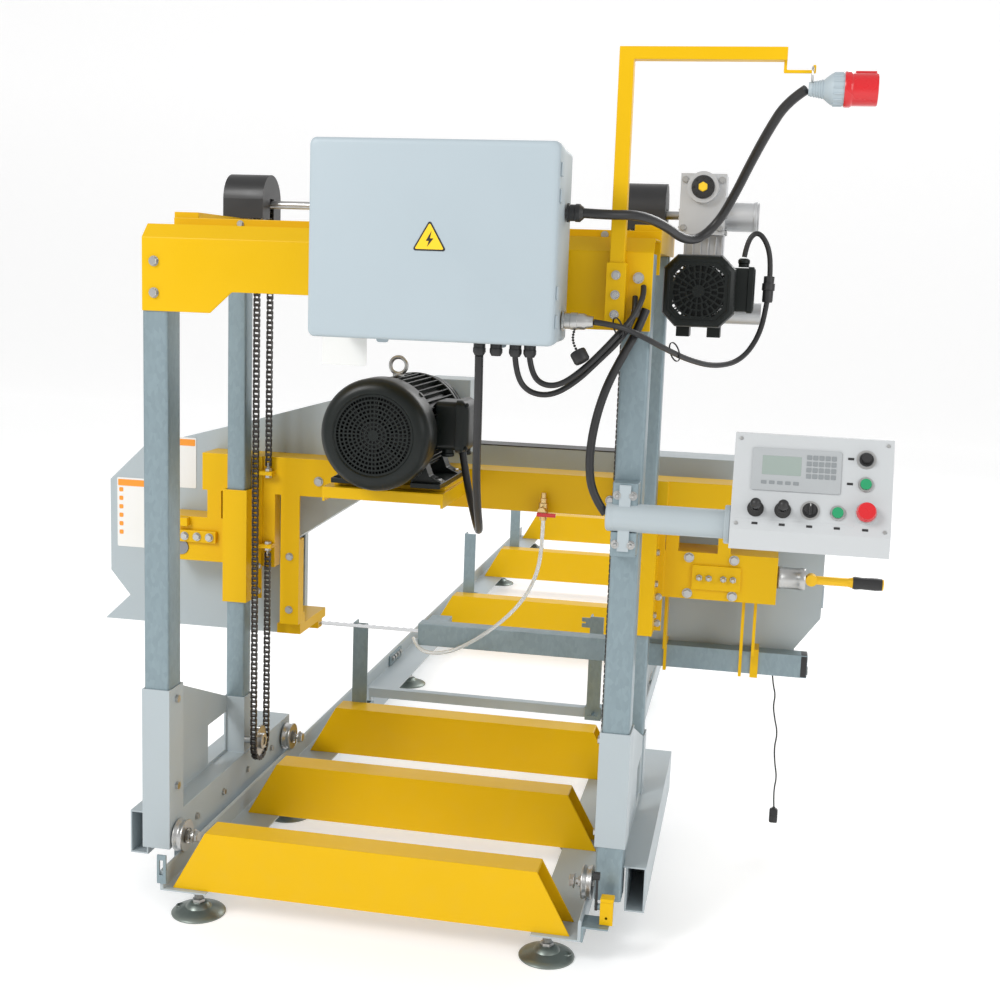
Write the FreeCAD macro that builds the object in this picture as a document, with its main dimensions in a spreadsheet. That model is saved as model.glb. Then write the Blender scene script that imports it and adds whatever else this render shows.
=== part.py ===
import FreeCAD, Part
import Sketcher
import math
import os
import re

# Horizontal band sawmill: a bed with rails and bunks, a four-post gantry that rolls along the rails,
# and a saw head that climbs the two rear posts on chains.
# +X points right across the track, +Y along the rails away from the operator, +Z up.
# The origin lies on the floor, at the centre of the four outer anchor holes of the corner feet.

V = FreeCAD.Vector
doc = FreeCAD.newDocument("BandSawmill")
sheet = doc.addObject("Spreadsheet::Sheet", "Sizes")

SIZES = {
    # bed
    "bed_half": 2340.0, "rail_half": 485.0, "rail_low": 61.0, "rail_high": 113.0, "rail_wall": 4.0,
    "rail_flange": 108.0, "rail_track": 8.0, "rail_over": 12.0, "splice_place": -345.0, "splice_len": 160.0,
    "bunk_base": 463.0, "bunk_crown": 385.0, "bunk_tall": 140.0, "bunk_deep": 75.0, "bunk_wall": 4.0,
    "foot_half": 410.0, "foot_round": 62.0, "foot_disc": 12.0, "foot_stud": 10.0, "foot_nut": 15.0,
    "anchor_hole": 5.5, "anchor_out": 45.0,
    "stop_wide": 46.0, "stop_wall": 4.0, "stop_tall": 280.0, "stop_place": 335.0, "stop_low": 170.0,
    "socket_tall": 110.0, "clamp_rail_wide": 30.0, "clamp_rail_place": -1017.0, "clamp_rail_low": 135.0,
    "clamp_tall": 290.0,
    # gantry
    "post_half": 534.0, "post_front": -2270.0, "front_wide": 60.0, "front_deep": 70.0, "front_low": 125.0,
    "rear_off": 483.0, "rear_wide": 50.0, "post_top": 1546.0, "rear_low": 200.0, "post_wall": 4.0,
    "base_in": 503.0, "base_out": 615.0, "base_low": 92.0, "base_high": 198.0, "base_wall": 4.0,
    "base_front_off": 30.0, "base_rear_off": 832.0, "socket_wall": 4.0, "socket_high": 512.0,
    "rear_socket_high": 352.0, "axle_z": 148.0, "axle_front_off": 36.0, "axle_rear_off": 782.0,
    "wheel_round": 38.0, "wheel_groove": 34.7, "wheel_wide": 24.0, "axle_round": 8.0,
    "beam_half": 563.0, "beam_sheet": 4.0, "beam_low": 1433.0, "beam_gusset": 1382.0, "beam_high": 1573.0,
    "beam_bevel": 30.0, "beam_deep": 170.0, "top_rail_wide": 60.0, "top_rail_high": 1606.0,
    "cabinet_wide": 500.0, "cabinet_tall": 390.0, "cabinet_deep": 200.0, "cabinet_mid": 145.0,
    "cabinet_low": 1352.0, "cabinet_lid": 30.0, "cabinet_front_off": -223.0, "cabinet_wall": 3.0,
    "arm_round": 30.0, "arm_start": 500.0, "arm_z": 996.0, "arm_off": -40.0, "panel_left": 752.0,
    "panel_wide": 316.0, "panel_low": 957.0, "panel_sill": 41.0, "panel_rise": 187.0, "panel_lean": 75.0,
    "panel_deep": 115.0, "panel_off": -95.0,
    "mast_place": 491.0, "mast_wide": 30.0, "mast_low": 1391.0, "mast_top": 1946.0, "mast_reach": 806.0,
    "plug_z": 1868.0,
    # lift drive
    "shaft_off": 488.0, "shaft_z": 1643.0, "shaft_round": 10.0, "chain_place": 464.0,
    "sprocket_pitch": 46.6,
    "sprocket_wide": 7.0, "lower_sprocket_z": 234.0, "chain_thick": 12.0, "chain_wide": 17.0,
    "gear_place": 634.0, "gear_half": 53.0, "worm_rise": 63.0, "lift_motor_place": 645.0,
    "lift_motor_z": 1468.0, "lift_motor_off": 245.0, "lift_motor_half": 80.0,
    # saw head, heights at rest
    "head_off": 548.0, "head_beam_low": 895.0, "head_beam_tall": 100.0, "head_beam_left": 655.0,
    "head_beam_right": 748.0, "sleeve_low": 612.0, "sleeve_high": 912.0, "sleeve_wide": 66.0,
    "sleeve_wall": 5.0, "shelf_off": 255.0, "shelf_top": 972.0, "shelf_left": 224.0, "shelf_right": 74.0,
    "shelf_lip": 27.0, "motor_place": -70.0, "motor_z": 1114.0, "motor_off": 146.0, "motor_round": 131.0,
    "motor_body_round": 122.0, "motor_shield_round": 114.0, "motor_shaft": 19.0, "belt_off": 678.0,
    "motor_pulley": 62.0, "drive_pulley": 110.0, "belt_wide": 34.0, "belt_thick": 10.0,
    "wheel_place": 714.0, "track_place": 697.0, "blade_z": 490.0, "band_wheel": 245.0, "band_off": 800.0,
    "band_wide": 34.0,
    "blade_wide": 38.0, "blade_thick": 1.2, "spindle_round": 20.0, "cover_off": 648.5, "door_off": 778.0,
    "door_deep": 82.0, "cover_wall": 3.0, "right_cover_off": 730.0, "cover_out": 970.0, "cover_in": 460.0,
    "cover_low": 492.0, "cover_top": 1034.0, "hub_z": 760.0, "hub_half": 60.0, "hub_deep": 120.0,
    "bearing_deep": 97.0,
    "guide_arm_low": 484.0, "guide_arm_wide": 60.0, "guide_arm_deep": 50.0, "guide_arm_off": 672.0,
    "guide_arm_left": -82.0, "guide_arm_right": 954.0,
    "running": 0.3, "gap": 0.5,
}
for row, (alias, number) in enumerate(SIZES.items(), 1):
    sheet.set("A%d" % row, alias)
    sheet.set("B%d" % row, str(number))
    sheet.setAlias("B%d" % row, alias)
doc.recompute()


def size(alias):
    """Number held by one cell of the sheet."""
    return float(sheet.get(alias))


def bind(text):
    """Expression in sheet aliases, as FreeCAD reads it."""
    return re.sub(r"[a-z][a-z0-9]*(?:_[a-z0-9]+)+|running|gap", lambda word: "Sizes." + word.group(0),
                  str(text))


count = [0]
parts = {}


def name_of(label):
    """Internal name for a helper feature."""
    count[0] += 1
    return "%s_%03d" % (label, count[0])


def move(thing, x, y, z):
    """Ties an object's place to the sheet."""
    thing.setExpression("Placement.Base.x", bind(x))
    thing.setExpression("Placement.Base.y", bind(y))
    thing.setExpression("Placement.Base.z", bind(z))
    return thing


def block(x, y, z, wide, deep, tall):
    """Box from its low corner and its three sides."""
    thing = doc.addObject("Part::Box", name_of("block"))
    thing.setExpression("Length", bind(wide))
    thing.setExpression("Width", bind(deep))
    thing.setExpression("Height", bind(tall))
    return move(thing, x, y, z)


TURNS = {"z": FreeCAD.Rotation(), "x": FreeCAD.Rotation(V(0, 1, 0), 90),
         "y": FreeCAD.Rotation(V(1, 0, 0), -90)}


def rod(axis, x, y, z, radius, length):
    """Cylinder that starts at a point and runs along +axis."""
    thing = doc.addObject("Part::Cylinder", name_of("rod"))
    thing.setExpression("Radius", bind(radius))
    thing.setExpression("Height", bind(length))
    thing.Placement = FreeCAD.Placement(V(), TURNS[axis])
    return move(thing, x, y, z)


def cone(axis, x, y, z, radius_a, radius_b, length):
    """Cone frustum that starts at a point and runs along +axis."""
    thing = doc.addObject("Part::Cone", name_of("cone"))
    thing.setExpression("Radius1", bind(radius_a))
    thing.setExpression("Radius2", bind(radius_b))
    thing.setExpression("Height", bind(length))
    thing.Placement = FreeCAD.Placement(V(), TURNS[axis])
    return move(thing, x, y, z)


def less(base, *tools):
    """Base with the tools cut away."""
    for tool in tools:
        thing = doc.addObject("Part::Cut", name_of("cut"))
        thing.Base = base
        thing.Tool = tool
        base = thing
    return base


def join(*things):
    """One solid of touching pieces."""
    if len(things) == 1:
        return things[0]
    thing = doc.addObject("Part::MultiFuse", name_of("fuse"))
    thing.Shapes = list(things)
    return thing


def group(*things):
    """Separate solids under one name."""
    thing = doc.addObject("Part::Compound", name_of("group"))
    thing.Links = list(things)
    return thing


def code(shape):
    """Shape worked out by Part's own functions."""
    thing = doc.addObject("Part::Feature", name_of("shape"))
    thing.Shape = shape
    return thing


PLANES = {"x": "YZ_Plane", "y": "XZ_Plane", "z": "XY_Plane"}
CELLS = doc.addObject("Spreadsheet::Sheet", "Outline")
cell_count = [0]


def outline(body, plane, corners):
    """Closed sketch through corners given as pairs of expressions."""
    sketch = body.newObject("Sketcher::SketchObject", name_of("sketch"))
    sketch.AttachmentSupport = [([f for f in body.Origin.OriginFeatures if f.Role == plane][0], "")]
    sketch.MapMode = "FlatFace"
    spots = []
    for pair in corners:
        spot = []
        for text in pair:
            cell_count[0] += 1
            address = "A%d" % cell_count[0]
            CELLS.set(address, "=" + re.sub(r"Sizes\.", "Sizes.", bind(text)))
            spot.append(address)
        spots.append(spot)
    CELLS.recompute()
    points = [V(float(CELLS.get(a)), float(CELLS.get(b)), 0) for a, b in spots]
    for index, point in enumerate(points):
        sketch.addGeometry(Part.LineSegment(point, points[(index + 1) % len(points)]))
    for index, point in enumerate(points):
        following = (index + 1) % len(points)
        sketch.addConstraint(Sketcher.Constraint("Coincident", index, 2, following, 1))
    for index, point in enumerate(points):
        for kind, value, text in (("DistanceX", point.x, corners[index][0]),
                                  ("DistanceY", point.y, corners[index][1])):
            held = sketch.addConstraint(Sketcher.Constraint(kind, -1, 1, index, 1, value))
            sketch.setExpression("Constraints[%d]" % held, bind(text))
    return sketch


def slab(axis, corners, start, thick):
    """Outline padded along +axis. Corners are (y, z) for x, (x, z) for y and (x, y) for z."""
    body = doc.addObject("PartDesign::Body", name_of("slab"))
    pad = body.newObject("PartDesign::Pad", name_of("pad"))
    pad.Profile = outline(body, PLANES[axis], corners)
    pad.setExpression("Length", bind(thick))
    if axis == "y":
        pad.Reversed = True
    body.setExpression("Placement.Base." + axis, bind(start))
    return body


def turned(axis, x, y, z, corners):
    """Profile of (radius, distance along axis) pairs turned about the axis through a point."""
    body = doc.addObject("PartDesign::Body", name_of("turned"))
    turn = body.newObject("PartDesign::Revolution", name_of("turn"))
    sketch = outline(body, "XZ_Plane", corners)
    turn.Profile = sketch
    turn.ReferenceAxis = (sketch, ["V_Axis"])
    turn.Angle = 360
    body.Placement = FreeCAD.Placement(V(), TURNS[axis])
    return move(body, x, y, z)


def mirrored(thing):
    """The same piece on the other side of the track's centre plane."""
    mirror = doc.addObject("Part::Mirroring", name_of("mirror"))
    mirror.Source = thing
    mirror.Normal = V(1, 0, 0)
    mirror.Base = V(0, 0, 0)
    return mirror


def part(label, thing):
    """Names a finished sub-part."""
    thing.Label = label
    parts[label] = thing
    return thing


def square_tube(axis, x, y, z, wide, deep, tall, wall):
    """Hollow rectangular tube, open at both ends along axis."""
    outer = block(x, y, z, wide, deep, tall)
    low = {"x": x, "y": y, "z": z}
    full = {"x": wide, "y": deep, "z": tall}
    for side in "xyz":
        if side == axis:
            low[side] = "%s - 5" % low[side]
            full[side] = "%s + 10" % full[side]
        else:
            low[side] = "%s + %s" % (low[side], wall)
            full[side] = "%s - 2 * %s" % (full[side], wall)
    return less(outer, block(low["x"], low["y"], low["z"], full["x"], full["y"], full["z"]))


def bolt(axis, x, y, z, radius):
    """Hexagon bolt head on its washer, against +axis."""
    heads = []
    for thing, depth in ((doc.addObject("Part::Cylinder", name_of("washer")), "1.2"),
                         (doc.addObject("Part::Prism", name_of("head")), "1.2 + %s * 1.3" % radius)):
        shift = {"x": x, "y": y, "z": z}
        shift[axis] = "%s - (%s)" % (shift[axis], depth)
        thing.Placement = FreeCAD.Placement(V(), TURNS[axis])
        if depth == "1.2":
            thing.setExpression("Radius", bind("%s * 2.1" % radius))
            thing.setExpression("Height", bind(depth))
        else:
            thing.Polygon = 6
            thing.setExpression("Circumradius", bind("%s * 1.9" % radius))
            thing.setExpression("Height", bind("%s * 1.3" % radius))
        heads.append(move(thing, shift["x"], shift["y"], shift["z"]))
    return join(*heads)


def tube(points, radius, bend=None):
    """Cable or hose along straight runs joined by tangent arcs.

    Each arc's radius is 0.45 of the shorter run beside it over the tangent of half the turn."""
    spots = [V(*point) for point in points]
    edges = []
    radii = []
    last = spots[0]
    for index in range(1, len(spots) - 1):
        before = spots[index - 1] - spots[index]
        after = spots[index + 1] - spots[index]
        reach = 0.45 * min(before.Length, after.Length)
        turn = math.pi - before.getAngle(after)
        radii.append(reach / math.tan(turn / 2))
        way_in = V(before).normalize()
        way_out = V(after).normalize()
        start = spots[index] + way_in * reach
        end = spots[index] + way_out * reach
        middle_way = (way_in + way_out).normalize()
        depth = radii[-1] / math.cos(turn / 2) - radii[-1]
        middle = spots[index] + middle_way * depth
        edges.append(Part.LineSegment(last, start).toShape())
        edges.append(Part.Arc(start, middle, end).toShape())
        last = end
    edges.append(Part.LineSegment(last, spots[-1]).toShape())
    path = Part.Wire(edges)
    first_way = (spots[1] - spots[0]).normalize()
    ring = Part.Wire([Part.Circle(spots[0], first_way, radius).toShape()])
    solid = path.makePipeShell([ring], True, False, 0)
    expected = math.pi * radius ** 2 * path.Length
    print("cable of %.0f mm, radii %s, volume ratio %.4f" % (
        path.Length, [round(value) for value in radii], solid.Volume / expected))
    return solid


# ---------------------------------------------------------------- bed
def rails():
    """Two rolled rails: a web, an inward foot and a narrow track edge."""
    right = slab("y", [
        ("rail_half - rail_flange", "rail_low"), ("rail_half + rail_wall", "rail_low"),
        ("rail_half + rail_wall", "rail_high - 6"), ("rail_half + 1", "rail_high"),
        ("rail_half - 1", "rail_high"), ("rail_half - rail_wall", "rail_high - 6"),
        ("rail_half - rail_wall", "rail_low + rail_wall"), ("rail_half - rail_flange",
                                                            "rail_low + rail_wall")],
        "-bed_half - rail_over", "2 * bed_half + 2 * rail_over")
    part("rails", group(right, mirrored(right)))


BUNKS = (0, 470, 975, 2520, 3560, 4600)
FEET = (26, 640, 1935, 3718, 4654)


def bunks():
    """Folded cross bunks with slanting open ends."""
    row = []
    for place in BUNKS:
        start = "-bed_half + %s" % place
        seat = "rail_low + rail_wall"
        outer = slab("y", [("-bunk_base", seat), ("bunk_base", seat),
                           ("bunk_crown", seat + " + bunk_tall"), ("-bunk_crown", seat + " + bunk_tall")],
                     start, "bunk_deep")
        hollow = block("-bunk_base - 5", start + " + bunk_wall", "rail_low", "2 * bunk_base + 10",
                       "bunk_deep - 2 * bunk_wall", "bunk_tall + rail_wall - bunk_wall")
        row.append(less(outer, hollow))
    part("bunks", group(*row))


def rail_plates():
    """Splice plates inside the rail webs, the hook plate, the end switch and the log-stop sockets."""
    row = []
    for side in (-1, 1):
        start = "rail_half - rail_wall - 6" if side > 0 else "-rail_half + rail_wall"
        row.append(block(start, "splice_place - splice_len / 2", "rail_low + rail_wall + 2", "6",
                         "splice_len",
                         "36"))
    hook = less(block("-rail_half - rail_wall - 5", "-bed_half - rail_over - 5", "80", "22", "5", "68"),
                block("-rail_half - rail_wall + 1", "-bed_half - rail_over - 6", "100", "9", "8", "36"))
    row.append(hook)
    row.append(join(block("rail_half + rail_wall", "-bed_half - rail_over", "94", "58", "60", "4"),
                    block("rail_half + rail_wall", "-bed_half - rail_over", "rail_low", "4", "60", "37")))
    for place in STOPS:
        row.append(less(
            block("-stop_place - stop_wide / 2 - 6", place, "rail_low + rail_wall + 20", "stop_wide + 12",
                  "stop_wide + 12", "socket_tall"),
            block("-stop_place - stop_wide / 2 - running", place + " - 1", "rail_low",
                  "stop_wide + 2 * running", "stop_wide + 7 + running", "socket_tall + 50")))
    x = "rail_half + 42"
    y = "-bed_half - rail_over + 18"
    row.append(join(block(x, y, "98", "26", "26", "52"), rod("x", x + " - 8", y + " + 13", "134", "7",
                                                             "9")))
    part("bed_fittings", group(*row))


STOPS = ["-bed_half + %s + bunk_deep" % BUNKS[index] for index in (2, 3, 4)]


def log_stops():
    """Angle-section log stops that slide down in their sockets."""
    for index, place in enumerate(STOPS, 1):
        left = "-stop_place - stop_wide / 2"
        stop = join(block(left, place + " + gap", "stop_low", "stop_wide", "stop_wall", "stop_tall"),
                    block(left, place + " + gap", "stop_low", "stop_wall", "stop_wide", "stop_tall"))
        part("log_stop_%d" % index, move(stop, "0", "0", "0"))


def feet():
    """Levelling feet: an anchor disc, a threaded stud and a nut under each rail flange."""
    row = []
    for place in FEET:
        for side in ("-", ""):
            x = "%sfoot_half" % side
            y = "-bed_half + %s" % place
            disc = join(cone("z", x, y, "0", "foot_round", "foot_round - 8", "foot_disc"),
                        cone("z", x, y, "foot_disc", "22", "14", "14"))
            shift = "-anchor_out" if side else "anchor_out"
            hole = rod("z", "%s + (%s)" % (x, shift), y, "-5", "anchor_hole", "40")
            row.append(less(disc, hole) if place in (FEET[0], FEET[-1]) else disc)
            row.append(join(rod("z", x, y, "foot_disc + 14", "foot_stud", "rail_low - foot_disc - 14"),
                            prism(x, y, "rail_low - 12", "foot_nut + 2", "12")))
    part("levelling_feet", group(*row))


def prism(x, y, z, radius, tall, axis="z"):
    """Hexagon prism."""
    thing = doc.addObject("Part::Prism", name_of("prism"))
    thing.Polygon = 6
    thing.setExpression("Circumradius", bind(radius))
    thing.setExpression("Height", bind(tall))
    thing.Placement = FreeCAD.Placement(V(), TURNS[axis])
    return move(thing, x, y, z)


def clamp():
    """Cross tube behind the third bunk and the clamp post that slides on it."""
    y = "clamp_rail_place"
    low = "clamp_rail_low"
    long_tube = square_tube("x", "-bunk_crown", y, low, "2 * bunk_crown", "clamp_rail_wide",
                            "clamp_rail_wide", "3")
    ends = [block(x, y, "rail_low + rail_wall", "8", "clamp_rail_wide",
                  "clamp_rail_low - rail_low - rail_wall + 3")
            for x in ("-bunk_crown", "bunk_crown - 8")]
    part("clamp_rail", join(long_tube, *ends))
    hole = "clamp_rail_wide + 2 * running"
    carrier = less(block("318", y + " - 6", low + " - 6", "50", "clamp_rail_wide + 12",
                         "clamp_rail_wide + 12"),
                   block("310", y + " - running", low + " - running", "70", hole, hole))
    upright = block("322", y + " - 6", low + " + clamp_rail_wide + 5", "42", "5", "clamp_tall")
    rib = block("322", y + " - 6", low + " + clamp_rail_wide + 5", "5", "38", "clamp_tall")
    jaw = less(block("296", y + " - 6", low + " + clamp_tall", "30", "5", "30"),
               block("290", y + " - 7", low + " + clamp_tall + 12", "18", "7", "6"))
    screw = join(rod("y", "343", y + " - 34", low + " + clamp_rail_wide / 2", "5", "29"),
                 block("327", y + " - 38", low + " + clamp_rail_wide / 2 - 3", "32", "6", "6"))
    part("clamp_post", join(carrier, upright, rib, jaw, screw))


def limit_switch():
    """Roller lever of the end-of-travel switch."""
    x = "rail_half + 42"
    y = "-bed_half - rail_over + 18"
    lever = join(rod("x", x + " - 14", y + " + 13", "134", "9", "5.7"),
                 block(x + " - 14", y + " + 9", "134", "5", "8", "70"),
                 rod("x", x + " - 20", y + " + 13", "204", "9", "14"))
    part("limit_lever", lever)


# ---------------------------------------------------------------- gantry
def side_bases():
    """Welded side bases: a base box, the front and rear post sockets and the pierced web between them."""
    rows = []
    for side in (-1, 1):
        run = "base_rear_off - base_front_off"
        y = "post_front + base_front_off"
        web = block("base_in", y, "base_low", "base_wall", run, "base_high - base_low")
        top = block("base_in", y, "base_high - base_wall", "base_out - base_in", run, "base_wall")
        box = square_tube("y", "base_out - 45", y, "base_low", "45", run, "base_high - base_low",
                          "base_wall")
        low = "front_low" if side < 0 else "front_low + 125"
        front = square_tube("z", "post_half - front_wide / 2 - socket_wall", "post_front - socket_wall",
                            low,
                            "front_wide + 2 * socket_wall", "front_deep + 2 * socket_wall",
                            "socket_high - " + low
                            if side < 0 else "socket_high - front_low - 125", "socket_wall")
        rear = square_tube("z", "post_half - rear_wide / 2 - socket_wall",
                           "post_front + rear_off - socket_wall",
                           "base_high", "rear_wide + 2 * socket_wall", "rear_wide + 2 * socket_wall",
                           "rear_socket_high - base_high", "socket_wall")
        start = "post_front + front_deep + socket_wall"
        end = "post_front + rear_off - socket_wall"
        plate = slab("x", [(start, "base_high"), (end, "base_high"), (end, "rear_socket_high"),
                           (start, "socket_high")], "post_half + rear_wide / 2 - socket_wall",
                           "socket_wall")
        hole_y = end + " - 125"
        opening = block("post_half", hole_y, "base_high + 8", "60", "118", "104")
        clear = block("post_half - front_wide / 2", "post_front", "base_low - 5", "front_wide",
                      "front_deep", "150")
        whole = less(join(web, top, box, front, rear, less(plate, opening)), clear)
        rows.append(mirrored(whole) if side < 0 else whole)
    part("side_bases", group(*rows))


def posts():
    """Four upright square tubes."""
    row = []
    for side in ("-", ""):
        x = "%spost_half" % side
        row.append(square_tube("z", x + " - front_wide / 2", "post_front", "front_low", "front_wide",
                               "front_deep",
                               "post_top - front_low - 6", "post_wall"))
        row.append(square_tube("z", x + " - rear_wide / 2", "post_front + rear_off", "base_high",
                               "rear_wide",
                               "rear_wide", "post_top - base_high", "post_wall"))
    part("posts", group(*row))


def front_beam():
    """Folded front beam with corner gussets, a bevelled top edge and a top flange."""
    y = "post_front - beam_sheet"
    face = slab("y", [
        ("-beam_half", "beam_gusset"), ("-beam_half + 160", "beam_gusset"),
        ("-beam_half + 215", "beam_low"),
        ("beam_half - 215", "beam_low"), ("beam_half - 160", "beam_gusset"), ("beam_half", "beam_gusset"),
        ("beam_half", "beam_high - beam_bevel"), ("-beam_half", "beam_high - beam_bevel")], y, "beam_sheet")
    bevel = slab("x", [
        (y, "beam_high - beam_bevel"), (y + " + beam_bevel", "beam_high"),
        (y + " + beam_bevel", "beam_high - beam_sheet"), (y + " + beam_sheet",
                                                          "beam_high - beam_bevel - 2")],
        "-beam_half", "2 * beam_half")
    top = block("-beam_half", y + " + beam_bevel", "beam_high - beam_sheet", "2 * beam_half",
                "beam_deep - beam_bevel", "beam_sheet")
    upstand = block("-beam_half", y + " + beam_deep", "beam_high - beam_sheet - 70", "2 * beam_half",
                    "beam_sheet", "94")
    floor = block("-post_half + front_wide / 2 + 2", y, "beam_low - beam_sheet",
                  "2 * post_half - front_wide - 4", "beam_deep", "beam_sheet")
    whole = join(face, bevel, top, upstand, floor)
    part("front_beam", whole)


def top_frame():
    """Side rails over the posts and the rear cross tube."""
    rows = []
    for side in ("-", ""):
        x = "%spost_half - top_rail_wide / 2" % side
        rows.append(block(x, "post_front + beam_deep + 1", "post_top + running", "top_rail_wide",
                          "rear_off + rear_wide - beam_deep + 40", "top_rail_high - post_top - running"))
    cross = block("-post_half + top_rail_wide / 2", "post_front + rear_off + 2", "post_top + running",
                  "2 * post_half - top_rail_wide", "rear_wide - 10", "top_rail_high - post_top - 12")
    hollow = block("-post_half + top_rail_wide / 2", "post_front + rear_off + 6", "post_top + 4",
                   "2 * post_half - top_rail_wide", "rear_wide - 18", "top_rail_high - post_top - 20")
    part("top_frame", less(join(rows[0], rows[1], cross), hollow))


def frame_fasteners():
    """Frame bolts, the wheel axles and the lift-shaft bearings."""
    row = []
    face = "post_front - beam_sheet"
    for x in ("-post_half", "post_half"):
        for z in ("beam_gusset + 40", "beam_high - 82"):
            row.append(bolt("y", x, face, z, "5"))
    for side in (-1, 1):
        inner = "%d * (post_half - front_wide / 2 - socket_wall)" % side
        for z in ("socket_high - 29", "front_low + 145"):
            head = prism("%s - %s" % (inner, "0" if side < 0 else "7"), "post_front + front_deep / 2", z,
                         "9.5", "7", "x")
            row.append(head)
        for off in ("axle_front_off", "axle_rear_off"):
            start = "rail_half - wheel_wide / 2 - 14" if side > 0 else "-base_in + 3"
            row.append(rod("x", start, "post_front + " + off, "axle_z", "axle_round",
                           "base_in - rail_half + wheel_wide / 2 + %d" % (14 if side > 0 else 11)))
            nut = "rail_half - wheel_wide / 2 - 9" if side > 0 else "-rail_half + wheel_wide / 2 + 2"
            row[-1] = join(row[-1], prism(nut, "post_front + " + off, "axle_z", "13", "7", "x"))
        for place in ("chain_place + 38", ):
            x = "%d * (%s) - 19" % (side, place)
            body = join(block(x, "post_front + shaft_off - 58", "top_rail_high", "38", "116", "14"),
                        rod("x", x, "post_front + shaft_off", "shaft_z", "32", "38"))
            row.append(less(body, rod("x", x + " - 1", "post_front + shaft_off", "shaft_z",
                                      "shaft_round + 0.05", "40")))
        x = "chain_place - 10" if side > 0 else "-post_half + rear_wide / 2 + socket_wall"
        row.append(rod("x", x, "post_front + shaft_off", "lower_sprocket_z", "10",
                       "post_half - rear_wide / 2 - socket_wall - chain_place + 10"))
    part("frame_fasteners", group(*row))


def rail_wheels():
    """Grooved rail wheels, a pair on each axle line."""
    half = "wheel_wide / 2"
    profile = [("axle_round + 0.05", "-wheel_wide / 2"), ("wheel_round", "-wheel_wide / 2"),
               ("wheel_round", "-wheel_wide / 2 + 4"), ("wheel_groove", "-2"), ("wheel_groove", "2"),
               ("wheel_round", half + " - 4"), ("wheel_round", half), ("axle_round + 0.05", half)]
    for label, off in (("front_rail_wheels", "axle_front_off"), ("rear_rail_wheels", "axle_rear_off")):
        pair = [turned("x", side + "rail_half", "post_front + " + off, "axle_z",
                       profile) for side in ("-", "")]
        part(label, group(*pair))


def cabinet():
    """Switch cabinet: hollow box, hinged lid and its latches, lugs and glands."""
    x = "cabinet_mid - cabinet_wide / 2"
    y = "post_front + cabinet_front_off"
    back = "cabinet_deep - cabinet_lid"
    box = less(block(x, y + " + cabinet_lid", "cabinet_low", "cabinet_wide", back, "cabinet_tall"),
               block(x + " + cabinet_wall", y + " + cabinet_lid - 5", "cabinet_low + cabinet_wall",
                     "cabinet_wide - 2 * cabinet_wall", back + " - cabinet_wall + 5",
                     "cabinet_tall - 2 * cabinet_wall"))
    feet_row = [block(x + " + %s" % place, y + " + cabinet_deep", z, "30",
                      "-cabinet_front_off - cabinet_deep - beam_sheet", "40")
                for place in ("60", "cabinet_wide - 90") for z in ("beam_low + 20", "beam_high - 75")]
    part("cabinet_box", join(box, *feet_row))
    lid = less(block(x, y, "cabinet_low", "cabinet_wide", "cabinet_lid - gap", "cabinet_tall"),
               block(x + " + cabinet_wall", y + " + cabinet_wall", "cabinet_low + cabinet_wall",
                     "cabinet_wide - 2 * cabinet_wall", "cabinet_lid", "cabinet_tall - 2 * cabinet_wall"))
    part("cabinet_door", join(lid, *knuckles(x + " - 2", "post_front - 193.5", "cabinet_low + 60",
                                             "cabinet_low + cabinet_tall - 120", "1.7", x + " - 2", "2.1",
                                             " - 2.5")))
    row = []
    for z in ("cabinet_low + 60", "cabinet_low + cabinet_tall - 80"):
        row.append(block(x + " + cabinet_wide + gap", y + " + cabinet_lid + 2", z, "6", "22", "36"))
    for place in (330, 365, 405, 435):
        row.append(join(prism(x + " + %d" % place, y + " + 120", "cabinet_low - 14", "13", "14"),
                        rod("z", x + " + %d" % place, y + " + 120", "cabinet_low - 28", "10", "16")))
    row.append(join(prism(x + " + cabinet_wide", y + " + 120", "cabinet_low + 262", "17", "14", "x"),
                    rod("x", x + " + cabinet_wide + 14", y + " + 120", "cabinet_low + 262", "14", "16")))
    row.append(join(prism(x + " + cabinet_wide", y + " + 120", "cabinet_low + 48", "18", "12", "x"),
                    rod("x", x + " + cabinet_wide + 12", y + " + 120", "cabinet_low + 48", "16", "50")))
    part("cabinet_fittings", group(*row))


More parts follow.
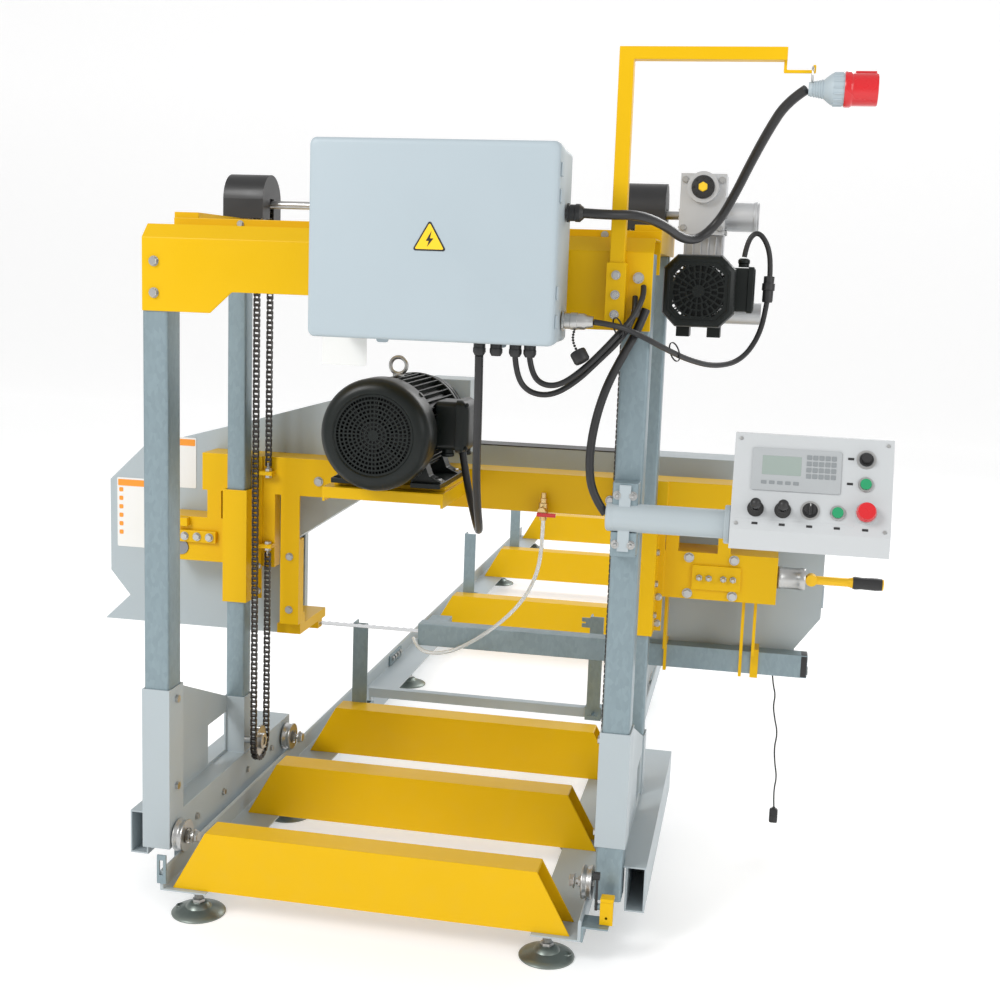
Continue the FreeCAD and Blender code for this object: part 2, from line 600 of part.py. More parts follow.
def panel():
    """Control desk on its tubular arm, with its switches and levers."""
    y = "post_front + arm_off"
    bracket = join(block("post_half - 27", y + " + arm_round - 6", "arm_z + arm_round - 2", "54",
                         "-arm_off - arm_round + 6", "52"),
                   block("post_half - 27", y + " + arm_round - 6", "arm_z - arm_round - 50", "54",
                         "-arm_off - arm_round + 6", "52"))
    ears = join(block("post_half - 12", y + " - 16", "arm_z + arm_round - 6", "24", "32", "46"),
                block("post_half - 12", y + " - 16", "arm_z - arm_round - 40", "24", "32", "46"),
                block("post_half - 22", y + " + 8", "arm_z - 72", "44", "-arm_off - 8", "144"))
    tube_part = rod("x", "arm_start", y, "arm_z", "arm_round", "panel_left - arm_start - gap")
    part("panel_arm", join(tube_part, ears))
    front = "post_front + panel_off"
    sill = "panel_low + panel_sill"
    top = sill + " + panel_rise"
    rear = front + " + panel_deep"
    desk = slab("x", [(front, "panel_low"), (rear, "panel_low"), (rear, top + " - 14"),
                      (front + " + panel_lean + 20", top), (front + " + panel_lean", top), (front, sill)],
                "panel_left", "panel_wide")
    hollow = slab("x", [(front + " + 3", "panel_low + 3"), (rear + " - 3", "panel_low + 3"),
                        (rear + " - 3", top + " - 17"), (front + " + panel_lean + 3", top + " - 4"),
                        (front + " + 3", sill + " + 1")], "panel_left + 3", "panel_wide - 6")
    lean = math.atan2(size("panel_lean"), size("panel_rise"))
    out = V(0, -math.cos(lean), math.sin(lean))
    along = V(0, math.sin(lean), math.cos(lean))
    base = V(size("panel_left"), size("post_front") + size("panel_off"),
             size("panel_low") + size("panel_sill"))

    def spot(right, up, proud=0.0):
        return base + V(right, 0, 0) + along * up + out * proud

    def disc(right, up, radius, low, high):
        return Part.makeCylinder(radius, high - low, spot(right, up, low), out)

    rings = []
    for right, up, hole, rim, tall in ((211, 45, 11, 15, 4), (263, 107, 11, 15, 4), (266, 48, 13, 22, 6)):
        rings.append(disc(right, up, rim, -0.5, tall).cut(disc(right, up, hole + size("running"), -1,
                                                               tall + 1)))
    for right in (49, 103):
        boot = Part.makeCone(16, 9.5, 14.5, spot(right, 44, -0.5), out)
        rings.append(boot.cut(disc(right, 44, 7, -1, 15)))
    part("panel_box", join(less(desk, hollow), code(Part.makeCompound(rings))))
    part("start_button", code(disc(211, 45, 11, 3.5, 8.5)))
    part("reset_button", code(disc(263, 107, 11, 3.5, 8.5)))
    head = Part.makeCone(20, 17, 11, spot(266, 48, 16), out)
    part("stop_button", code(disc(266, 48, 13, 5.5, 12).fuse([disc(266, 48, 20, 11.5, 16),
                                                              head]).removeSplitter()))
    part("mode_selector", code(disc(157, 47, 15, 0.2, 4).fuse(disc(157, 47, 11, 4, 13)).removeSplitter()))
    part("speed_knob", code(disc(262, 159, 14, 0.2, 3).fuse(disc(262, 159, 9, 3, 18)).removeSplitter()))
    for label, right in (("joystick_left", 49), ("joystick_right", 103)):
        middle = spot(right, 44, 8)
        pivot = Part.makeSphere(6.5, middle).fuse(Part.makeCylinder(2, 13.2, middle - V(6.6, 0, 0),
                                                                    V(1, 0, 0)))
        ball = Part.makeSphere(11, spot(right, 44, 48))
        part(label, code(disc(right, 44, 4, 8, 44).fuse([pivot, ball]).removeSplitter()))


def mast():
    """Cable mast: clamp, upright, outrigger and hook."""
    y = "post_front - beam_sheet - mast_wide"
    clamp_part = less(block("mast_place - mast_wide / 2 - 5", y + " - 4", "mast_low", "mast_wide + 10",
                            "mast_wide + 4", "129"),
                      block("mast_place - mast_wide / 2", y, "mast_low - 1", "mast_wide", "mast_wide",
                            "131"))
    upright = block("mast_place - mast_wide / 2", y, "mast_low", "mast_wide", "mast_wide",
                    "mast_top - mast_low")
    outrigger = block("mast_place", y, "mast_top - mast_wide + 5", "mast_reach - mast_place", "mast_wide",
                      "mast_wide - 5")
    plate = block("mast_reach - 6", y + " + 12", "mast_top - mast_wide - 18", "6", "6", "30")
    hook = block("mast_reach - 6", y + " + 12", "mast_top - mast_wide - 18", "62", "6", "6")
    tip = block("mast_reach + 50", y + " + 12", "mast_top - mast_wide - 18", "6", "6", "16")
    part("cable_mast", join(clamp_part, upright, outrigger, plate, hook, tip))


def lift_drive():
    """Worm gearbox on the lift shaft, its second stage and the lift motor."""
    y = "post_front + shaft_off"
    gx = "gear_place - gear_half"
    upper = join(block(gx, y + " - 60", "shaft_z - 45", "2 * gear_half", "120", "140"),
                 rod("y", "gear_place", y + " - 78", "shaft_z + worm_rise", "36", "156"),
                 rod("x", "gear_place", y, "shaft_z", "34", "gear_half + 78"))
    upper = less(upper, rod("x", gx + " - 5", y, "shaft_z", "shaft_round + 0.05", "gear_half * 2"))
    column = block("gear_place - 40", y + " - 23", "lift_motor_z - 30", "92", "83",
                   "shaft_z - 45 - lift_motor_z + 30")
    lower = join(block("lift_motor_place - 45", "post_front + lift_motor_off + 218", "lift_motor_z - 60",
                       "90", "90", "62"),
                 rod("x", "lift_motor_place", "post_front + lift_motor_off + 263", "lift_motor_z - 50",
                     "26", "138"))
    arm = block("post_half + rear_wide / 2 + gap", "post_front + rear_off + 4", "lift_motor_z - 28",
                "gear_place - 38 - post_half - rear_wide / 2", "40", "60")
    part("lift_gearbox", join(upper, column, lower, arm))
    front = "post_front + lift_motor_off"
    h = "lift_motor_half"
    octagon = [("lift_motor_place - %s" % h, "lift_motor_z - %s * 0.62" % h),
               ("lift_motor_place - %s * 0.62" % h, "lift_motor_z - %s" % h),
               ("lift_motor_place + %s * 0.62" % h, "lift_motor_z - %s" % h),
               ("lift_motor_place + %s" % h, "lift_motor_z - %s * 0.62" % h),
               ("lift_motor_place + %s" % h, "lift_motor_z + %s * 0.62" % h),
               ("lift_motor_place + %s * 0.62" % h, "lift_motor_z + %s" % h),
               ("lift_motor_place - %s * 0.62" % h, "lift_motor_z + %s" % h),
               ("lift_motor_place - %s" % h, "lift_motor_z + %s * 0.62" % h)]
    cowl = slab("y", octagon, front, "55")
    body = rod("y", "lift_motor_place", front + " + 55", "lift_motor_z", "lift_motor_half - 9", "163 - gap")
    box = block("lift_motor_place + lift_motor_half - 14", front + " + 66", "lift_motor_z - 46", "56",
                "96", "104")
    feet_row = [block("lift_motor_place - 36 + %d" % place, front + " + 80",
                      "lift_motor_z - lift_motor_half - 24",
                      "30", "70", "50") for place in (-14, 56)]
    gland = join(rod("z", "lift_motor_place + lift_motor_half + 14", front + " + 112",
                     "lift_motor_z + 58", "12", "20"))
    part("lift_motor", join(cowl, body, box, gland, *feet_row))


def lift_train():
    """Lift shaft with its top sprockets, the lower sprockets and the chains."""
    y = "post_front + shaft_off"
    half = "sprocket_wide / 2"
    wheel = "sprocket_pitch - chain_thick / 2 - 0.4"
    shaft = rod("x", "-post_half - 20", y, "shaft_z", "shaft_round", "post_half + 20 + gear_place + 30")
    tops = [rod("x", "%schain_place - %s" % (side, half), y, "shaft_z", wheel, "sprocket_wide")
            for side in ("-", "")]
    hubs = [rod("x", "%schain_place - 12" % side, y, "shaft_z", "18", "24") for side in ("-", "")]
    part("lift_shaft", join(shaft, *(tops + hubs)))
    lows = []
    for side in ("-", ""):
        disc = join(rod("x", "%schain_place - %s" % (side, half), y, "lower_sprocket_z", wheel,
                        "sprocket_wide"),
                    rod("x", "%schain_place - 9" % side, y, "lower_sprocket_z", "17", "18"))
        lows.append(less(disc, rod("x", "%schain_place - 20" % side, y, "lower_sprocket_z", "10.05", "40")))
    part("lower_sprockets", group(*lows))
    covers = []
    for side in ("-", ""):
        x = "%s(chain_place + 32)%s" % (side, " - 52")
        outer = join(block(x, y + " - 64", "top_rail_high + gap", "104", "128", "47"),
                     rod("x", x, y, "top_rail_high + 46", "64", "104"))
        lower_cut = block(x + " - 5", y + " - 80", "top_rail_high - 60", "114", "160", "60.5")
        inner = join(block(x + " + 3", y + " - 61", "top_rail_high - 10", "98", "122", "58"),
                     rod("x", x + " + 3", y, "top_rail_high + 46", "61", "98"))
        slot = block(x + " - 5", y + " - 14", "top_rail_high", "120", "28", "shaft_z - top_rail_high + 14")
        covers.append(less(outer, lower_cut, inner, slot))
    part("chain_covers", group(*covers))


def chain_band(side, low, high, closed):
    """Chain loop around the two sprockets, as a band."""
    half = size("chain_thick") / 2
    pitch = size("sprocket_pitch")
    y = size("post_front") + size("shaft_off")
    top = size("shaft_z")
    bottom = size("lower_sprocket_z")

    def loop(radius):
        return Part.Wire([
            Part.LineSegment(V(0, y - radius, bottom), V(0, y - radius, top)).toShape(),
            Part.Arc(V(0, y - radius, top), V(0, y, top + radius), V(0, y + radius, top)).toShape(),
            Part.LineSegment(V(0, y + radius, top), V(0, y + radius, bottom)).toShape(),
            Part.Arc(V(0, y + radius, bottom), V(0, y, bottom - radius),
                     V(0, y - radius, bottom)).toShape()])

    wide = size("chain_wide")
    outer = Part.Face(loop(pitch + half)).extrude(V(wide, 0, 0))
    inner = Part.Face(loop(pitch - half)).extrude(V(wide, 0, 0))
    band = outer.cut(inner)
    band.translate(V(side * size("chain_place") - wide / 2, 0, 0))
    keep = Part.makeBox(wide + 40, 2 * pitch + 60, high - low,
                        V(side * size("chain_place") - wide / 2 - 20, y if closed else y - pitch - 30, low))
    return band.cut(keep) if closed else band.common(keep)


def chains():
    """Chain loops of both sides; the rear runs belong to the head."""
    y = size("post_front") + size("shaft_off")
    fixed = []
    runs = {"head_chain_lower": [], "head_chain_upper": []}
    upper = size("shaft_z")
    lower = size("lower_sprocket_z")
    for side in (-1, 1):
        fixed.append(chain_band(side, lower, upper, True))
        for label, low, high in (("head_chain_lower", lower + 0.5, LOW_LUG - 30),
                                 ("head_chain_upper", HIGH_LUG + 30, upper - 0.5)):
            run = Part.makeBox(size("chain_wide"), size("chain_thick"), high - low,
                               V(side * size("chain_place") - size("chain_wide") / 2,
                                 y + size("sprocket_pitch") - size("chain_thick") / 2, low))
            runs[label].append(run)
    part("lift_chains", code(Part.makeCompound(fixed)))
    for label, pair in runs.items():
        part(label, code(Part.makeCompound(pair)))


LOW_LUG = 758.0
HIGH_LUG = 953.0


# ---------------------------------------------------------------- saw head
def head_frame():
    """Welded head: beam, post sleeves, motor shelf, spindle boxes and guide bracket."""
    y = "post_front + head_off"
    top = "head_beam_low + head_beam_tall"
    beam = square_tube("x", "-head_beam_left", y, "head_beam_low", "head_beam_left + head_beam_right",
                       "100",
                       "head_beam_tall", "5")
    pieces = [beam]
    for side in ("-", ""):
        x = "%spost_half" % side
        low = "sleeve_low"
        sleeve_y = "post_front + rear_off - (sleeve_wide - rear_wide) / 2"
        sleeve = square_tube("z", x + " - sleeve_wide / 2", sleeve_y,
                             low, "sleeve_wide", "sleeve_wide", "sleeve_high - sleeve_low", "sleeve_wall")
        plate = block(x + " - 50", "post_front + rear_off + rear_wide / 2 + sleeve_wide / 2", low, "100",
                      "head_off - rear_off - rear_wide / 2 - sleeve_wide / 2", top + " - sleeve_low")
        pieces += [sleeve, plate]
        for z in (LOW_LUG, HIGH_LUG):
            inner = "chain_place - 14"
            lug = block("%s(%s)%s" % (side, inner, " - 55" if side else ""),
                        "post_front + shaft_off + sprocket_pitch - 14",
                        z - 5, "55", "head_off - shaft_off - sprocket_pitch + 14", "10")
            pieces.append(lug)
        hang = block("%s(chain_place - 14)%s" % (side, " - 55" if side else ""), y, LOW_LUG - 60, "55",
                     "40",
                     "head_beam_low - %s" % (LOW_LUG - 60))
        pieces.append(hang)
    shelf = join(block("-shelf_left", "post_front + shelf_off", "shelf_top - 8", "shelf_left + shelf_right",
                       "head_off - shelf_off", "8"),
                 block("-shelf_left", "post_front + shelf_off", "shelf_top - shelf_lip",
                       "shelf_left + shelf_right",
                       "6", "shelf_lip"),
                 block("shelf_right - 6", "post_front + shelf_off", "shelf_top - shelf_lip - 8", "6",
                       "head_off - shelf_off", "shelf_lip + 8"),
                 block("-shelf_left", "post_front + shelf_off", "shelf_top - shelf_lip - 8", "6",
                       "head_off - shelf_off", "shelf_lip + 8"))
    pieces.append(shelf)
    left_box = block("-wheel_place - 48", y, "hub_z - hub_half", "wheel_place + 48 - post_half - 48",
                     "bearing_deep",
                     "2 * hub_half")
    pieces.append(left_box)
    pieces.append(block("-head_beam_left + 14", y, "hub_z + hub_half", "40", "60",
                        "head_beam_low - hub_z - hub_half"))
    track = less(block("track_place - 120", y, "hub_z - hub_half", "288", "hub_deep", "2 * hub_half"),
                 block("track_place - 112", y + " + 8", "hub_z - hub_half + 8", "300", "hub_deep - 16",
                       "2 * hub_half - 16"),
                 block("wheel_place - 45", y + " + hub_deep - 20", "blade_z + band_wheel - 22", "75",
                       "40", "44"))
    pieces.append(track)
    for x in ("track_place - 112", "track_place + 18"):
        pieces.append(block(x, y, "hub_z + hub_half", "32", "40", "head_beam_low - hub_z - hub_half"))
    pieces.append(block("track_place - 42", y + " - 8", "hub_z - 33", "120", "8", "62"))
    pieces.append(block("600", y + " + 100", "head_beam_low + 10", "120",
                        "right_cover_off - head_off - 100 - gap", "60"))
    guide = join(block("-434", y, "545", "52", "8", "head_beam_low - 545"),
                 block("-390", y, "545", "8", "40", "232"))
    pieces.append(guide)
    pieces += arm_holder()
    whole = join(*pieces)
    bores = [rod("y", "-wheel_place", y + " - 5", "blade_z + band_wheel", "spindle_round + 0.05",
                 "hub_deep + 10")]
    part("head_frame", less(whole, *bores))


def main_motor():
    """Main motor: cowl, finned body, end shield, feet and terminal box."""
    y = "post_front + motor_off"
    x = "motor_place"
    z = "motor_z"
    cowl = turned("y", x, y, z, [("0.0 * motor_round", "0.0 * motor_round"),
                                 ("motor_round * 0.8", "0.0 * motor_round"),
                                 ("motor_round", "30"), ("motor_round", "94"), ("0.0 * motor_round", "94")])
    body = rod("y", x, y + " + 90", z, "motor_body_round - 12", "296")
    fins = []
    for index in range(12):
        angle = math.radians(-20 + index * 20)
        fins.append((math.cos(angle), math.sin(angle)))
    fin_blocks = [code(fin_shape(cosine, sine)) for cosine, sine in fins]
    shield = rod("y", x, y + " + 384", z, "motor_shield_round", "88")
    feet_row = [block("motor_place + %d" % place, "post_front + shelf_off + 60", "shelf_top + 10", "50",
                      "212",
                      "motor_z - shelf_top - 60") for place in (-133, 83)]
    base = block("motor_place - 136", "post_front + shelf_off + 40", "shelf_top + gap", "274",
                 "head_off - shelf_off - 45", "10 - gap")
    box = block("motor_place + motor_body_round - 18", y + " + 150", "motor_z - 45", "86", "120", "120")
    neck = rod("z", "motor_place", y + " + 215", "motor_z + motor_body_round - 20", "13", "26")
    ring = code(Part.makeTorus(20, 5, V(size("motor_place"), size("post_front") + size("motor_off") + 215,
                                        size("motor_z") + size("motor_body_round") + 28), V(0, 1, 0)))
    bore = rod("y", x, y + " + 440", z, "motor_shaft + running", "40")
    part("main_motor", less(join(cowl, body, shield, base, box, neck, ring, *(feet_row + fin_blocks)),
                            bore))


def fin_shape(cosine, sine):
    """One cooling fin along the motor body."""
    length = 290.0
    inner = size("motor_body_round") - 16
    fin = Part.makeBox(16, length, 4, V(inner, 0, -2))
    fin.rotate(V(), V(0, 1, 0), -math.degrees(math.atan2(sine, cosine)))
    fin.translate(V(size("motor_place"), size("post_front") + size("motor_off") + 94.2, size("motor_z")))
    return fin


def pulley(x, z, radius, y):
    """Grooved pulley rim."""
    half = "belt_wide / 2 + 4"
    return turned("y", x, y, z, [("0.0 * belt_wide", "-belt_wide / 2 - 4"),
                                 (radius + " + 3", "-belt_wide / 2 - 4"),
                                 (radius + " + 3", "-belt_wide / 2"), (radius, "-belt_wide / 2"),
                                 (radius, "belt_wide / 2"), (radius + " + 3", "belt_wide / 2"),
                                 (radius + " + 3", half), ("0.0 * belt_wide", half)])


def band_wheel(x):
    """Cast band wheel with a rim, web, hub and rubber tyre edge."""
    half = "band_wide / 2"
    return turned("y", x, "post_front + band_off", "blade_z + band_wheel", [
        ("0.0 * band_wide", "-band_wide / 2"), ("45", "-band_wide / 2"), ("50", "-7"),
        ("band_wheel - 24", "-7"),
        ("band_wheel - 18", "-band_wide / 2"), ("band_wheel", "-band_wide / 2"), ("band_wheel", half),
        ("band_wheel - 18", half), ("band_wheel - 24", "7"), ("50", "7"), ("45", half),
        ("0.0 * band_wide", half)])


def band_train():
    """Motor rotor, belt, band wheels, tension slide and blade."""
    z = "blade_z + band_wheel"
    belt_y = "post_front + belt_off"
    shaft = rod("y", "motor_place", "post_front + motor_off + 442", "motor_z", "motor_shaft",
                "belt_off - motor_off - 442 + belt_wide / 2 + 4")
    part("motor_pulley", join(shaft, pulley("motor_place", "motor_z", "motor_pulley", belt_y)))
    spindle = rod("y", "-wheel_place", "post_front + head_off - 3", z, "spindle_round",
                  "band_off - head_off + band_wide / 2 + 3")
    part("drive_wheel", join(band_wheel("-wheel_place"), spindle,
                             pulley("-wheel_place", z, "drive_pulley", belt_y)))
    track_y = "post_front + head_off"
    idle_spindle = rod("y", "wheel_place", track_y + " + hub_deep + 4", z, "spindle_round - 2",
                       "band_off - head_off - hub_deep - 4 + band_wide / 2")
    part("idler_wheel", join(band_wheel("wheel_place"), idle_spindle))
    carriage = join(block("wheel_place - 45", track_y + " + 10", "hub_z - 50", "90", "hub_deep - 20",
                          "100"),
                    rod("y", "wheel_place", track_y + " + 60", z, "19", "hub_deep - 60 + 3.5"),
                    rod("x", "wheel_place + 44", track_y + " + 55", "hub_z", "12",
                        "track_place + 124 - wheel_place"),
                    rod("x", "track_place + 168", track_y + " + 55", "hub_z", "27", "70"))
    part("tension_slide", carriage)
    lever = join(rod("y", "track_place + 253", track_y + " + 41", "hub_z", "14.5", "28"),
                 rod("x", "track_place + 253", track_y + " + 55", "hub_z", "11", "90"),
                 cone("x", "track_place + 343", track_y + " + 55", "hub_z", "11", "14", "12"),
                 rod("x", "track_place + 355", track_y + " + 55", "hub_z", "14", "74"))
    part("tension_lever", lever)
    radius = size("band_wheel") + 0.4
    centre = size("blade_z") + size("band_wheel")
    place = size("wheel_place")

    def loop(reach):
        return Part.Face(Part.Wire([
            Part.LineSegment(V(-place, 0, centre - reach), V(place, 0, centre - reach)).toShape(),
            Part.Arc(V(place, 0, centre - reach), V(place + reach, 0, centre),
                     V(place, 0, centre + reach)).toShape(),
            Part.LineSegment(V(place, 0, centre + reach), V(-place, 0, centre + reach)).toShape(),
            Part.Arc(V(-place, 0, centre + reach), V(-place - reach, 0, centre),
                     V(-place, 0, centre - reach)).toShape()]))

    wide = size("blade_wide")
    blade = loop(radius + size("blade_thick")).extrude(V(0, wide,
                                                         0)).cut(loop(radius).extrude(V(0, wide, 0)))
    blade.translate(V(0, size("post_front") + size("band_off") - wide / 2 + 4, 0))
    part("saw_blade", code(blade))
    part("drive_belt", code(belt_shape()))


def belt_shape():
    """Belt round two pulleys: the hull of two discs less the smaller hull."""
    small = V(size("motor_place"), 0, size("motor_z"))
    large = V(-size("wheel_place"), 0, size("blade_z") + size("band_wheel"))
    r_small = size("motor_pulley") + 0.3
    r_large = size("drive_pulley") + 0.3
    span = small - large
    base = math.atan2(span.z, span.x)
    tilt = math.asin((r_large - r_small) / span.Length)

    def loop(extra):
        points = []
        for sign in (1, -1):
            angle = base + sign * (math.pi / 2 - tilt)
            way = V(math.cos(angle), 0, math.sin(angle))
            points.append((large + way * (r_large + extra), small + way * (r_small + extra)))
        ahead = V(math.cos(base), 0, math.sin(base))
        return Part.Face(Part.Wire([
            Part.LineSegment(points[0][0], points[0][1]).toShape(),
            Part.Arc(points[0][1], small + ahead * (r_small + extra), points[1][1]).toShape(),
            Part.LineSegment(points[1][1], points[1][0]).toShape(),
            Part.Arc(points[1][0], large - ahead * (r_large + extra), points[0][0]).toShape()]))

    wide = size("belt_wide") - 1
    belt = loop(size("belt_thick")).extrude(V(0, wide, 0)).cut(loop(0.0).extrude(V(0, wide, 0)))
    belt.translate(V(0, size("post_front") + size("belt_off") - wide / 2, 0))
    return belt


COVER_OUTLINE = [("-cover_in - 2", "cover_low"), ("-cover_out - 18", "cover_low"),
                 ("-cover_out + 57", "cover_low + 72"),
                 ("-cover_out", "cover_low + 140"), ("-cover_out", "cover_top - 143"),
                 ("-cover_out + 99", "cover_top - 47")]


def knuckles(x, y, low, high, radius, leaf_x, leaf_wide, leaf_from=" - 0.2"):
    """Two hinge barrels on a vertical axis, each with the leaf that ties it to its door."""
    row = []
    for z in (low, high):
        row.append(rod("z", x, y, z, radius, "60"))
        row.append(block(leaf_x, y + leaf_from, z, leaf_wide, "2.5", "60"))
    return row


def covers():
    """Wheel covers with their hinged doors and the guard over the upper blade run."""
    y = "post_front + cover_off"
    wall = "cover_wall"
    lift = [("-331.0 + 0 * cover_wall", "cover_top + 109"), ("motor_place - 5", "cover_top + 181"),
            ("motor_place + 118", "cover_top + 181"), ("motor_place + 118", "cover_top - 14"),
            ("motor_place + 30", "cover_top - 14"), ("-cover_in - 2", "cover_low + 243")]
    corners = COVER_OUTLINE + [("-609.0 - 0 * cover_wall", "cover_top + 27")] + lift
    deep = "door_off - cover_off"
    outer = slab("y", corners, y, deep)
    inner = slab("y", [
        ("-cover_in - 2 - " + wall, "cover_low - 5"), ("-cover_out + 20", "cover_low - 5"),
        ("-cover_out + 62", "cover_low + 72"),
        ("-cover_out + " + wall, "cover_low + 141"), ("-cover_out + " + wall, "cover_top - 144"),
        ("-cover_out + 99 + 1", "cover_top - 50"), ("-608.0 - 0 * cover_wall", "cover_top + 24"),
        ("-331.0 + 0 * cover_wall", "cover_top + 105"), ("motor_place - 5", "cover_top + 178"),
        ("motor_place + 115", "cover_top + 178"), ("motor_place + 115", "cover_top - 11"),
        ("motor_place + 29", "cover_top - 11"), ("-cover_in - 2 - " + wall, "cover_low + 245")],
        y + " + " + wall, deep + " - 2 * cover_wall")
    hole = rod("y", "-wheel_place", y + " - 5", "blade_z + band_wheel", "spindle_round + 8", "20")
    shaft_hole = rod("y", "motor_place", y + " - 5", "motor_z", "motor_shaft + 10", "20")
    mouth = slab("y", [("-cover_in - 2 - " + wall, "cover_low - 5"), ("-cover_out + 20", "cover_low - 5"),
                       ("-cover_out + 62", "cover_low + 72"), ("-cover_out + " + wall, "cover_low + 141"),
                       ("-cover_out + " + wall, "cover_top - 144"),
                       ("-cover_out + 99 + 1", "cover_top - 50"),
                       ("-cover_in - 2 - " + wall, "cover_top - " + wall)], "post_front + door_off - 20",
                       "30")
    part("left_cover", less(outer, inner, mouth, hole, shaft_hole))
    door_y = "post_front + door_off + gap"
    door_corners = COVER_OUTLINE + [("-cover_in - 2", "cover_top")]
    door_inner = [("-cover_in - 2 - " + wall, "cover_low - 5"), ("-cover_out + 20", "cover_low - 5"),
                  ("-cover_out + 62", "cover_low + 72"), ("-cover_out + " + wall, "cover_low + 141"),
                  ("-cover_out + " + wall, "cover_top - 144"), ("-cover_out + 99 + 1", "cover_top - 50"),
                  ("-cover_in - 2 - " + wall, "cover_top - " + wall)]
    gate = block("-cover_in - 10", door_y + " - 5", "cover_low - 5", "20", "door_deep - 20", "560")
    pin_y = "post_front + door_off + 1"
    left = less(slab("y", door_corners, door_y, "door_deep"),
                slab("y", door_inner, door_y + " - 5", "door_deep - %s + 5" % wall), gate)
    part("left_door", join(left, *knuckles("-cover_out - 20", pin_y, "cover_low + 158", "cover_low + 328",
                                           "6",
                                           "-cover_out - 20", "21")))
    right_outline = [("cover_in", "cover_low"), ("cover_out - 46", "cover_low"),
                     ("cover_out - 46", "cover_low + 54"),
                     ("cover_out + 16", "cover_low + 140"), ("cover_out + 16", "cover_top"),
                     ("cover_in", "cover_top")]
    right_inner = [("cover_in + " + wall, "cover_low - 5"), ("cover_out - 46 - " + wall, "cover_low - 5"),
                   ("cover_out - 46 - " + wall, "cover_low + 55"),
                   ("cover_out + 16 - " + wall, "cover_low + 142"),
                   ("cover_out + 16 - " + wall, "cover_top - " + wall),
                   ("cover_in + " + wall, "cover_top - " + wall)]
    ry = "post_front + right_cover_off"
    rdeep = "door_off - right_cover_off"
    body = less(slab("y", right_outline, ry, rdeep), slab("y", right_inner, ry + " + " + wall, rdeep),
                block("wheel_place - 44", ry + " - 5", "blade_z + band_wheel - 26", "78", "20", "52"))
    low = "cover_top - 60"
    start = "motor_place + 122"
    guard = less(join(block(start, "post_front + 762", low, "cover_in - motor_place - 122 - 3", "78", "60"),
                      block("cover_in - 3", "post_front + 762", low, "3", "15", "60"),
                      block("-cover_in + 2", "post_front + door_off + gap", low,
                            "cover_in + motor_place + 120",
                            "62 - gap", "60")),
                 block(start + " - 1", "post_front + 765", "cover_top - 70",
                       "cover_in - motor_place - 118", "72", "67"),
                 block("-cover_in", "post_front + 781.5", "cover_top - 70",
                       "cover_in + motor_place + 140", "55.5", "67"))
    part("right_cover", join(body, guard))
    right = less(slab("y", right_outline, door_y, "door_deep"),
                 slab("y", right_inner, door_y + " - 5", "door_deep - %s + 5" % wall),
                 block("cover_in - 10", door_y + " - 5", "cover_low - 5", "20", "door_deep - 20", "560"))
    part("right_door", join(right, *knuckles("cover_out + 20", pin_y, "cover_low + 158",
                                             "cover_low + 328", "3",
                                             "cover_out + 15.5", "4.5")))


def pads(x, y):
    """Blade guide pads above and below the blade, held by a yoke behind its back edge; y is that edge."""
    low = "blade_z - blade_thick - 10.6"
    return [block(x, y + " - 8", "blade_z + 0.6", "40", "32", "19.4"),
            block(x, y + " - 8", low, "40", "32", "10"),
            block(x, y + " - 12", low, "40", "11.4", "30 + blade_thick")]


def guides():
    """Fixed and sliding blade guides."""
    y = "post_front + guide_arm_off"
    edge = "post_front + band_off - blade_wide / 2 + 4"
    start = "post_front + head_off + 40 + gap"
    deep = "band_off - head_off - 40 - gap - blade_wide / 2 + 28"
    fixed = join(block("-456", start, "blade_z + 18", "66", deep, "26"),
                 block("-434", start, "blade_z + 43", "44", "40", "30"), *pads("-440", edge))
    part("fixed_guide", fixed)
    arm = square_tube("x", "guide_arm_left", y, "guide_arm_low", "guide_arm_right - guide_arm_left",
                      "guide_arm_deep", "guide_arm_wide", "3")
    head = join(block("guide_arm_left + 8", y + " + guide_arm_deep", "blade_z + 18", "56",
                      "band_off - guide_arm_off - guide_arm_deep - blade_wide / 2 + 28", "30"),
                *pads("guide_arm_left + 16", edge))
    cap = block("guide_arm_right", y, "guide_arm_low", "4", "guide_arm_deep", "guide_arm_wide")
    part("guide_arm", join(arm, head, cap))


def arm_holder():
    """Rings the guide arm slides through, hung below the tension box."""
    y = "post_front + guide_arm_off"
    reach = "post_front + head_off + hub_deep - 60"
    pieces = []
    for x, wide in (("track_place - 110", "8"), ("track_place + 86", "8"), ("track_place + 116", "20")):
        ring = less(block(x, y + " - 8", "guide_arm_low - 8", wide, "guide_arm_deep + 16 - gap",
                          "guide_arm_wide + 16"),
                    block(x + " - 1", y + " - running", "guide_arm_low - running", wide + " + 2",
                          "guide_arm_deep + 2 * running", "guide_arm_wide + 2 * running"))
        hanger = block(x, reach, "guide_arm_low + guide_arm_wide + 4", "8", "60",
                       "hub_z - hub_half - guide_arm_low - guide_arm_wide - 4")
        pieces.append(join(ring, hanger))
    return pieces


